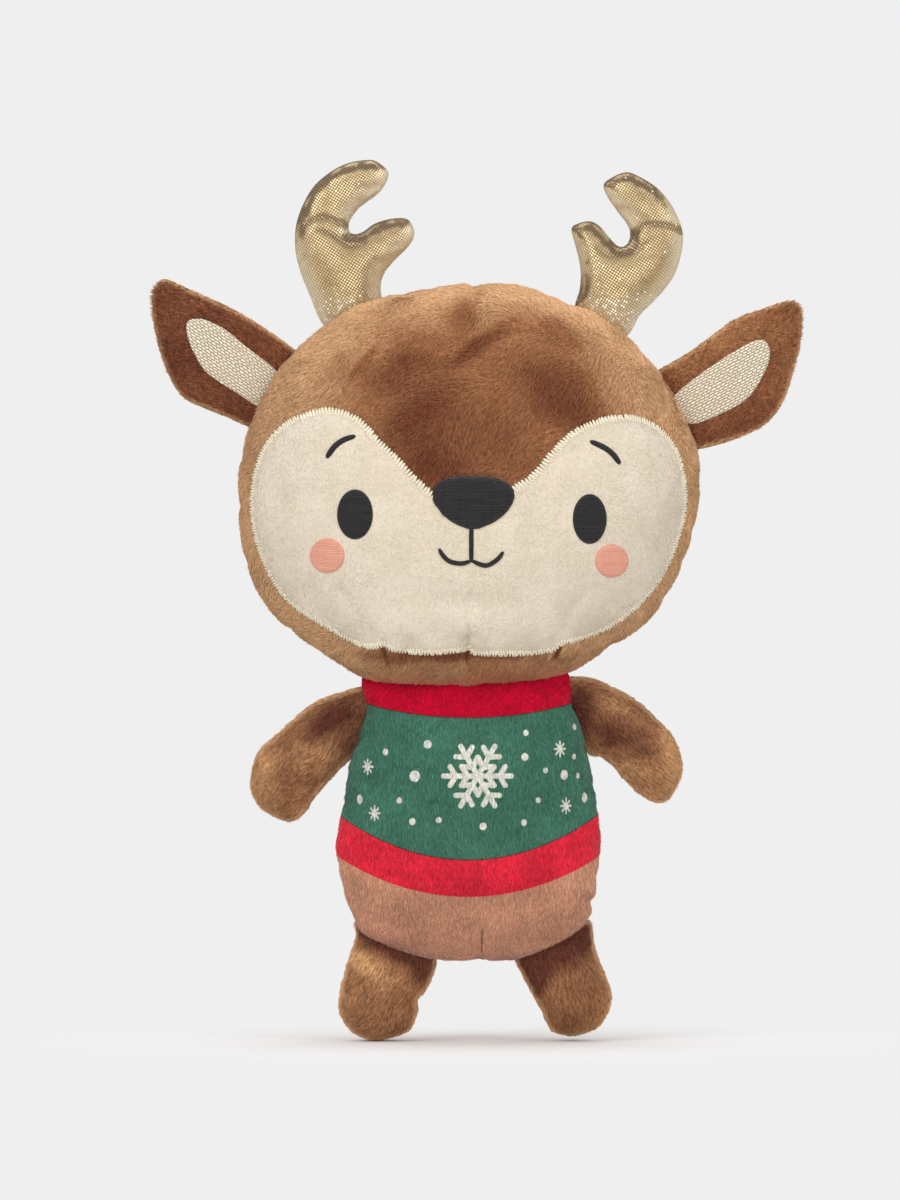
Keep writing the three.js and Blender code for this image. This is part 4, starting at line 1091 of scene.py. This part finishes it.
head = {
    "outline": [
        (1.9, 227.1), (12.2, 226.8), (18.4, 225.6), (24.1, 223.5), (30.1, 221.1), (37.0, 218.4),
        (43.0, 214.5), (47.2, 211.2), (51.8, 206.7), (57.8, 199.2), (62.8, 190.8), (66.5, 182.7),
        (68.5, 175.8), (69.1, 168.9), (68.8, 161.7), (67.6, 154.8), (65.0, 145.8), (61.0, 136.8),
        (55.4, 128.1), (49.0, 122.4), (41.5, 117.9), (34.9, 113.7), (30.4, 111.3), (21.1, 108.9),
        (10.9, 107.1), (0.1, 106.5), (-10.7, 106.5), (-20.8, 107.4), (-31.0, 109.5), (-39.4, 114.3),
        (-45.8, 118.2), (-51.8, 122.4), (-57.4, 127.2), (-61.9, 133.2), (-65.2, 139.8), (-67.3, 147.0),
        (-68.5, 154.5), (-68.8, 161.7), (-68.8, 168.9), (-67.6, 176.1), (-65.8, 183.0), (-62.2, 191.7),
        (-57.4, 200.1), (-52.4, 206.1), (-46.6, 211.5), (-40.6, 216.0), (-33.8, 220.2), (-24.1, 223.2),
        (-18.1, 224.4), (-12.2, 225.6), (-6.1, 226.5),
    ],
    "centre": (0.0, 166.0),
    "depth": 43.0,
    "depthShares": [(106, 1.5), (113, 1.36), (122, 1.1), (132, 1.0)],  # at heights: the chin hangs forward
    "fullness": 2.15,
    "segments": 44,
    "stuffing": {"slack": 0.02, "pressure": 4.0, "bending": 2.0, "most": 2.5},  # a point moves 2.5 mm at most
    "folds": [
        ([(2.4, 234), (1.8, 226), (1.2, 216)], 1.5, 0.9, "both"),
        ([(0.2, 124), (0.0, 118), (-0.2, 112)], 0.9, 0.9, "front"),
        ([(0.8, 136), (0.5, 130), (0.2, 122)], 0.7, 0.5, "front"),
        ([(-40, 138), (-34, 130), (-29, 121)], 1.0, 0.5, "front"),
        ([(27, 121), (30, 128), (36, 136)], 1.0, 0.45, "front"),
        ([(-26.0, 122), (-24.6, 117), (-22.0, 110)], 1.1, 0.9, "front"),
        ([(24.6, 122), (26.0, 117), (27.5, 112)], 1.0, 0.9, "front"),
        ([(-10, 202), (2, 207), (14, 214)], 3.0, 0.5, "front"),
    ],
}
body = {
    "outline": [
        (-8.5, 123.9), (-20.6, 120.3), (-28.9, 114.9), (-32.2, 108.3), (-31.3, 100.5), (-33.4, 91.8),
        (-35.9, 83.1), (-37.6, 72.3), (-39.1, 64.5), (-39.8, 58.8), (-39.1, 52.8), (-37.4, 45.3),
        (-35.5, 39.9), (-32.5, 33.3), (-27.4, 29.1), (-19.3, 25.8), (-8.5, 24.3), (2.9, 24.1),
        (13.9, 24.6), (22.9, 27.0), (30.8, 31.2), (35.5, 36.3), (37.9, 42.3), (38.9, 50.7), (39.8, 58.8),
        (39.4, 66.3), (37.6, 78.3), (35.9, 86.7), (34.4, 93.9), (32.2, 101.4), (30.8, 108.3),
        (28.1, 114.3), (21.4, 119.7), (9.4, 123.9),
    ],
    "centre": (0.5, 72.0),
    "depth": 30.0,
    "depthShares": [(88, 1.0), (98, 0.9), (107, 0.66), (116, 0.6)],  # the neck is gathered under the chin
    "fullness": 2.3,
    "segments": 36,
    "stuffing": {"slack": 0.02, "pressure": 4.0, "bending": 2.0, "most": 2.0},
    "folds": [
        ([(4.4, 33.5), (4.2, 30), (3.6, 22)], 1.2, 0.8, "front"),
        ([(33, 43), (37.5, 42), (43, 41)], 1.5, 1.3, "both"),
    ],
}


ballUnderPile = {"inset": 0.6, "uneven": 0.2, "size": 1.3}  # mm


def makeBall(name, sizes, material):
    piece = ballForm(name, sizes, material)
    stuff(piece, sizes["stuffing"])
    subdivide(piece)
    pressFolds(piece, sizes["folds"])
    sinkUnderPile(piece, ballUnderPile)
    return piece


headSkin = makeBall("head_plush", head, headMaterial)
bodySkin = makeBall("body_plush", body, bodyMaterial)
print("head and body made")

# Limbs, left and right as the deer has them

limbs = {
    "arm_right": {
        "outline": [
            (-28.9, 107.6), (-32.5, 106.5), (-38.5, 104.7), (-45.8, 102.0), (-51.8, 97.5), (-57.4, 92.4),
            (-61.6, 88.8), (-64.0, 84.9), (-65.5, 78.3), (-65.0, 74.4), (-62.8, 70.5), (-59.2, 67.8),
            (-53.9, 65.7), (-50.5, 66.9), (-47.9, 69.6), (-46.0, 72.6), (-43.9, 75.3), (-37.6, 81.9),
            (-33.4, 86.7), (-30.8, 91.8), (-28.3, 98.4), (-27.8, 104.1),
        ],
        "thickness": 17.0,
    },
    "arm_left": {
        "outline": [
            (27.4, 108.9), (30.1, 109.5), (37.4, 108.9), (43.6, 106.2), (50.2, 102.6), (55.0, 98.4),
            (60.1, 93.3), (63.1, 87.9), (64.3, 82.2), (63.1, 77.4), (60.1, 72.6), (55.9, 71.4),
            (50.2, 74.7), (45.8, 79.2), (42.1, 83.4), (38.9, 85.2), (35.9, 86.1), (32.9, 90.9),
            (29.2, 97.5), (27.4, 103.5),
        ],
        "thickness": 17.0,
    },
    "leg_right": {
        "outline": [
            (-33.4, 36.3), (-34.0, 31.8), (-36.1, 24.9), (-38.2, 17.7), (-39.1, 10.8), (-38.2, 7.2),
            (-35.5, 3.3), (-32.2, 1.2), (-27.8, 0.0), (-23.2, 0.9), (-18.4, 2.7), (-16.3, 5.1),
            (-14.8, 9.9), (-14.8, 12.6), (-13.0, 14.7), (-11.5, 17.1), (-10.0, 21.0), (-9.4, 24.3),
            (-9.8, 29.1), (-14.5, 32.1), (-23.6, 35.1),
        ],
        "thickness": 23.0,
    },
    "leg_left": {
        "outline": [
            (13.9, 27.9), (13.9, 24.0), (15.8, 20.1), (17.2, 17.1), (19.1, 13.5), (21.1, 10.2), (22.9, 6.3),
            (25.1, 3.0), (30.8, 1.5), (35.9, 2.7), (39.4, 4.5), (41.5, 7.5), (42.8, 11.1), (43.0, 15.0),
            (40.6, 21.9), (38.2, 28.5), (36.4, 36.3), (30.4, 34.5), (21.4, 30.9),
        ],
        "thickness": 23.0,
    },
    "ear_right": {
        "outline": [
            (-91.3, 228.9), (-94.6, 225.6), (-95.2, 219.6), (-94.0, 211.8), (-92.2, 204.9), (-89.5, 198.3),
            (-85.3, 192.3), (-78.1, 189.0), (-71.5, 186.3), (-66.1, 183.9), (-61.3, 183.3), (-55.9, 189.9),
            (-50.5, 198.9), (-48.8, 206.1), (-51.1, 207.3), (-61.3, 214.5), (-71.5, 220.5), (-81.5, 225.0),
            (-88.0, 228.0),
        ],
        "thickness": 6.0,
    },
    "ear_left": {
        "outline": [
            (56.5, 201.6), (64.0, 205.8), (71.8, 211.2), (79.6, 216.9), (87.5, 219.9), (95.2, 222.3),
            (98.8, 221.4), (100.3, 218.4), (100.0, 210.6), (97.6, 200.4), (94.6, 191.7), (89.0, 184.5),
            (79.6, 180.0), (69.5, 177.3), (65.2, 177.9), (59.8, 185.1), (55.0, 193.5), (53.9, 199.5),
        ],
        "thickness": 6.0,
    },
    "antler_right": {
        "outline": [
            (-43.0, 214.2), (-47.9, 224.4), (-51.1, 233.1), (-52.0, 241.2), (-50.5, 248.4), (-46.6, 255.9),
            (-41.2, 260.7), (-35.9, 263.4), (-30.4, 264.3), (-27.8, 264.0), (-24.1, 261.0), (-24.4, 258.0),
            (-27.1, 254.1), (-31.9, 250.5), (-34.9, 247.2), (-35.9, 243.9), (-34.9, 242.1), (-31.9, 242.7),
            (-27.8, 245.4), (-21.8, 246.9), (-17.8, 246.3), (-16.1, 242.1), (-17.8, 238.5), (-21.8, 234.3),
            (-25.1, 230.4), (-26.2, 226.5), (-25.9, 221.4), (-27.1, 215.7), (-34.9, 212.7),
        ],
        "thickness": 12.6,
        "folds": [
            ([(-50.5, 243.5), (-47.5, 245.7), (-43.3, 246.9), (-36.7, 244.5)], 0.8, 0.65, "front"),
            ([(-45, 243), (-41, 242), (-38, 239.8), (-35.5, 238.2), (-31, 239.4)], 0.9, 0.75, "front"),
        ],
    },
    "antler_left": {
        "outline": [
            (31.9, 220.8), (33.4, 226.2), (33.4, 232.5), (32.2, 237.9), (30.8, 243.6), (32.5, 245.1),
            (36.4, 246.0), (39.4, 244.5), (42.8, 240.6), (45.4, 238.2), (47.9, 239.4), (48.4, 243.0),
            (46.4, 246.6), (42.8, 251.4), (40.4, 256.5), (42.8, 258.9), (47.5, 260.7), (52.0, 258.9),
            (56.9, 255.6), (61.0, 250.5), (64.0, 243.6), (64.0, 237.3), (61.6, 229.5), (56.9, 223.2),
            (51.4, 217.5), (47.5, 211.5), (39.4, 212.1), (31.9, 215.7),
        ],
        "thickness": 12.6,
        "folds": [
            ([(46.5, 240.5), (49.5, 242.2), (53, 244.6), (59.2, 244.6), (64, 243)], 0.8, 0.6, "front"),
            ([(38, 238), (42, 235.4), (47, 235.2), (51, 237.5), (55, 240.5)], 0.8, 0.5, "front"),
        ],
    },
}

limbCloth = {
    "spacing": 1.3,  # mm between points
    "rings": (0.12, 0.4, 0.85),  # rows of points along the seam, as shares of the spacing
    "fullness": 2.3,
    "stuffing": {"slack": 0.015, "pressure": 3.0, "bending": 2.0, "most": 1.2},
    "underPile": {"inset": 0.5, "uneven": 0.18, "size": 0.9},
}

pieces = {}
for limbName, sizes in limbs.items():
    finish = {"antler": goldFoil, "ear": earMaterial}.get(limbName.split("_")[0], limbMaterial)
    piece = flatForm(limbName + "_skin", sizes, limbCloth, finish)
    if not limbName.startswith("ear"):
        stuff(piece, limbCloth["stuffing"])
    subdivide(piece)
    pressFolds(piece, sizes.get("folds", []))
    if finish == goldFoil:
        shadeFoil(piece, sizes["outline"], sizes["folds"])
    else:
        sinkUnderPile(piece, limbCloth["underPile"])
    pieces[limbName] = piece
print("limbs made")

# Face

face = {
    "outline": [
        (-43.0, 188.7), (-34.4, 186.3), (-27.8, 180.0), (-20.8, 172.8), (-15.1, 166.8), (-10.7, 162.9),
        (-5.5, 159.9), (0.8, 158.7), (7.0, 159.9), (13.3, 164.7), (20.2, 169.5), (25.9, 176.4),
        (32.5, 182.4), (40.4, 185.7), (47.9, 186.3), (55.6, 183.6), (61.3, 177.3), (64.0, 168.6),
        (64.3, 159.9), (62.2, 150.6), (58.3, 141.0), (51.8, 132.3), (43.9, 125.7), (35.5, 121.8),
        (27.4, 119.4), (25.1, 117.6), (18.4, 116.7), (11.5, 116.4), (1.9, 116.7), (0.4, 118.8),
        (-0.8, 117.9), (-7.0, 117.0), (-13.3, 116.7), (-19.3, 117.3), (-22.9, 117.9), (-24.8, 119.4),
        (-28.6, 118.5), (-33.4, 119.7), (-43.0, 125.1), (-52.6, 131.4), (-58.3, 138.9), (-62.5, 148.5),
        (-64.3, 159.9), (-63.4, 169.5), (-60.1, 178.2), (-53.5, 184.8),
    ],
    "thickness": 0.8,
    "edge": 0.9,
    "spacing": 1.6,
}
nose = {
    "outline": [
        (-10.7, 164.1), (-9.4, 166.5), (-6.1, 168.3), (-2.5, 168.9), (1.3, 168.9), (6.5, 168.6),
        (10.9, 167.1), (13.3, 164.7), (13.3, 161.7), (11.8, 159.0), (9.4, 156.6), (6.5, 154.8),
        (3.4, 153.6), (1.1, 153.3), (-1.9, 153.9), (-5.5, 155.7), (-8.2, 158.1), (-10.3, 161.1),
    ],
    "thickness": 1.45,
    "edge": 1.4,
    "spacing": 0.8,
    "lift": 0.5,
}
facePanel = layOn("face_panel_plush", headSkin, face["outline"], face, creamMaterial)
nosePiece = layOn("nose_embroidery", headSkin, nose["outline"], nose, blackThread)


def oval(x, z, width, height):
    turns = np.linspace(0, 2 * math.pi, 24)[:-1]
    return [(x + width / 2 * math.cos(a), z + height / 2 * math.sin(a)) for a in turns]


spotEdge = {"thickness": 0.7, "edge": 0.6, "spacing": 0.8}
# x, z, width and height
spots = {
    "eye_right": (-33.6, 157.65, 10.6, 14.8), "eye_left": (35.85, 156.3, 10.05, 14.8),
    "cheek_right": (-41.85, 145.5, 10.2, 10.2), "cheek_left": (42.45, 144.0, 9.9, 9.9),
}
for spotName, sizes in spots.items():
    thread = blackThread if spotName.startswith("eye") else pinkThread
    pieces[spotName] = layOn(spotName + "_embroidery", facePanel, oval(*sizes), spotEdge, thread)

strokeEdge = {"thickness": 0.6, "edge": 0.4, "spacing": 0.5}
strokes = {
    "mouth": {
        "lines": [
            [(0.8, 154.5), (0.8, 149.0), (0.8, 143.4)],
            [(-8.8, 147.6), (-7.6, 145.5), (-5.5, 143.7), (-1.9, 143.1), (0.8, 144.0)],
            [(0.8, 144.0), (5.0, 142.5), (8.5, 144.3), (10.3, 146.7)],
        ],
        "width": 1.35,
    },
    "brow_right": {"lines": [[(-42.1, 174.3), (-39.8, 177.6), (-37.0, 179.7), (-33.4, 180.9)]], "width": 1.6},
    "brow_left": {"lines": [[(35.9, 179.4), (40.4, 177.3), (43.0, 175.2), (44.9, 172.5)]], "width": 1.6},
}
for strokeName, sizes in strokes.items():
    parts = [
        layOn(f"{strokeName}_{k}", facePanel, strokeOutline(line, sizes["width"]), strokeEdge, blackThread)
        for k, line in enumerate(sizes["lines"])
    ]
    pieces[strokeName] = joinPieces(strokeName + "_embroidery", parts)

earEdge = {"thickness": 0.7, "edge": 0.8, "spacing": 1.2}
ears = {
    "ear_right": {
        "outline": [
            (-84.5, 215.1), (-82.6, 216.6), (-78.8, 216.3), (-72.8, 213.3), (-66.1, 207.9), (-56.5, 200.1),
            (-55.4, 195.3), (-61.3, 189.9), (-69.5, 194.4), (-78.1, 200.1), (-82.0, 205.8), (-84.1, 210.9),
        ],
        "threadTurn": -35,
    },
    "ear_left": {
        "outline": [
            (62.8, 194.7), (70.0, 200.4), (78.1, 205.8), (85.0, 209.7), (89.0, 210.0), (90.5, 205.8),
            (88.3, 199.5), (83.5, 192.6), (75.8, 188.1), (68.0, 185.1), (64.0, 186.3), (61.0, 191.7),
        ],
        "threadTurn": 28,
    },
}
for earName, sizes in ears.items():
    pieces[earName + "_inner"] = layOn(
        earName + "_inner_embroidery", pieces[earName], sizes["outline"], {**earEdge, **sizes}, earThread)

# Satin stitch holds the face panel: wide by the forehead, narrow where the head's pile lies over it, and
# none under the nose, where the row starts. Sizes are in mm and degrees
satin = {
    "spacing": 1.05, "width": 1.02, "length": 2.8, "height": 0.9, "lift": 0.75, "turn": 6, "sway": 9,
    "seed": 3, "inside": 1.0,  # mm in from the face's outline
}
narrow = {
    **satin, "spacing": 0.85, "width": 0.75, "length": 2.6, "height": 0.8, "lift": 0.7, "sway": 20,
    "seed": 5, "inside": 0.4,
}
satinEdge = {"above": 150, "from": -50, "to": 46, "towards": (0.0, 158.0)}  # where the edge is wide
rim = smoothLoop(face["outline"], 0.8)
under = insideLoop(rim, smoothLoop(nose["outline"], 0.8))
rim, under = (np.roll(values, -int(np.argmax(under)), axis=0) for values in (rim, under))
wide = (rim[:, 1] > satinEdge["above"]) & (rim[:, 0] > satinEdge["from"]) & (rim[:, 0] < satinEdge["to"])
kinds = np.where(under, 0, np.where(wide, 1, 2))
inwards = np.array(satinEdge["towards"]) - rim
inwards /= np.linalg.norm(inwards, axis=1)[:, None]
stitchRows = []
for row in np.split(np.arange(len(rim)), np.flatnonzero(np.diff(kinds)) + 1):
    if kinds[row[0]]:
        sizes = satin if kinds[row[0]] == 1 else narrow
        line = rim[row] + inwards[row] * sizes["inside"]
        stitchRows.append(sewRow(f"face_stitches_{len(stitchRows)}", headSkin, line, sizes, creamThread))
print("face made")

# Pile on the plush, which the eye sees as fine streaks and a soft outline

headHair = {
    "density": 3.5, "length": 1.9, "width": 0.47, "rise": 0.24, "spread": 0.12, "swirl": 15, "stray": 0.8,
    "soft": 0.5, "seed": 11,
}
limbHair = {
    **headHair, "density": 5.0, "length": 1.6, "width": 0.44, "swirl": 13, "stray": 0.5, "spread": 0.1,
}
earHair = {**limbHair, "length": 1.4, "rise": 0.14}
bodyHair = {**headHair, "density": 2.9, "length": 1.6, "width": 0.45, "swirl": 7, "stray": 0.45, "rise": 0.16}
creamHair = {**headHair, "density": 4.5, "length": 1.2, "width": 0.36, "rise": 0.1, "swirl": 9, "soft": 0.9}
naps = {
    "head": (-0.55, 0.15, -0.6), "body": (0.05, 0, -1), "face": (0.5, 0, -0.6),
    "arm_right": (-0.7, 0, -0.7), "arm_left": (0.7, 0, -0.7),
    "leg_right": (-0.35, 0, -0.8), "leg_left": (0.35, 0, -0.8),
    "ear_right": (-0.8, 0, 0.3), "ear_left": (0.8, 0, 0.3),
}
faceLoop = smoothLoop(face["outline"], 1.6)


# Where each pile grows: places in mm, and the skin's directions there

def besideFace(points, normals):
    return (points[:, 1] < 0) & ~insideLoop(points[:, [0, 2]], faceLoop)


# The back, which the photo doesn't show, has fewer tufts
def behind(points, normals):
    return (points[:, 1] >= 0) * 0.7


def underHead(points, normals):
    return points[:, 2] < 114


# The panel's front and rim, and not its back, which lies on the head
def onPanel(points, normals):
    return normals[:, 1] < 0.3


# The embroidery lies on the cream pile, which is cut back a little round it
embroidered = [nose["outline"]] + [oval(*sizes) for sizes in spots.values()]
embroidered += [strokeOutline(line, sizes["width"]) for sizes in strokes.values() for line in sizes["lines"]]
embroidered = [smoothLoop(outline, 0.4) for outline in embroidered]


def onThread(points):
    return np.any([insideLoop(points[:, [0, 2]], loop) for loop in embroidered], axis=0)


# Pile, skin, how it grows, nap, material, where it grows and where it may not, body and slot
grows = [
    ("head_front_pile", headSkin, headHair, "head", headPile, besideFace, onThread, "head", "head_plush"),
    ("head_back_pile", headSkin, headHair, "head", headPile, behind, None, "head", "head_plush"),
    ("body_pile", bodySkin, bodyHair, "body", bodyPile, underHead, None, "body", "printed_plush"),
    ("face_pile", facePanel, creamHair, "face", creamPile, onPanel, onThread, "head", "cream_plush"),
]
for limbName in [name for name in limbs if name in naps]:
    fur, finish = (earHair, earPile) if limbName.startswith("ear") else (limbHair, limbPile)
    growth = (limbName + "_pile", pieces[limbName], fur, limbName, finish, None, None)
    grows.append((*growth, limbName, "limb_plush"))
hair = []
for name, skin, fur, nap, finish, covered, bare, bodyName, slotName in grows:
    hair.append((growPile(name, skin, fur, naps[nap], finish, covered, bare), bodyName, slotName, []))
print("pile grown")

# What moves with what

# Kinds of piece whose cloth crosses a joint, with mm to either side of its hinge; such a piece keeps its
# place in the world
bendReach = {"arm": 6, "leg": 6, "ear": 5, "antler": 4}


def bendAtHinge(piece, bodyName):
    kind = bodyName.split("_")[0]
    if kind == "body":
        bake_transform(piece)
    elif kind in bendReach:
        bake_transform(piece)
    else:
        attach(piece, bodyName)


# Piece, body, slot, and the nodes of the CAD that the piece takes the place of
worn = hair + [(row, "head", "cream_plush", []) for row in stitchRows] + [
    (headSkin, "head", "head_plush", ["head_front", "head_back", "head_filling"]),
    (bodySkin, "body", "printed_plush", ["body_front", "body_back", "body_filling"]),
    (facePanel, "head", "cream_plush", ["face_panel"]),
    (nosePiece, "head", "black_thread", ["nose"]),
]
for limbName in limbs:
    kind, side = limbName.split("_")
    parts = ("front", "back") if kind == "ear" else ("front", "back", "filling")
    nodes = [f"{kind}_{part}_{side}" for part in parts]
    worn.append((pieces[limbName], limbName, "gold_foil_fabric" if kind == "antler" else "limb_plush", nodes))
for name in (*spots, *strokes):
    worn.append((pieces[name], "head", "pink_thread" if name.startswith("cheek") else "black_thread", [name]))
for earName in ears:
    nodes = [earName.replace("ear_", "ear_inner_")]
    worn.append((pieces[earName + "_inner"], earName, "ear_embroidery", nodes))
for piece, bodyName, slotName, nodes in worn:
    bendAtHinge(piece, bodyName)
    if nodes:
        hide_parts(*nodes)
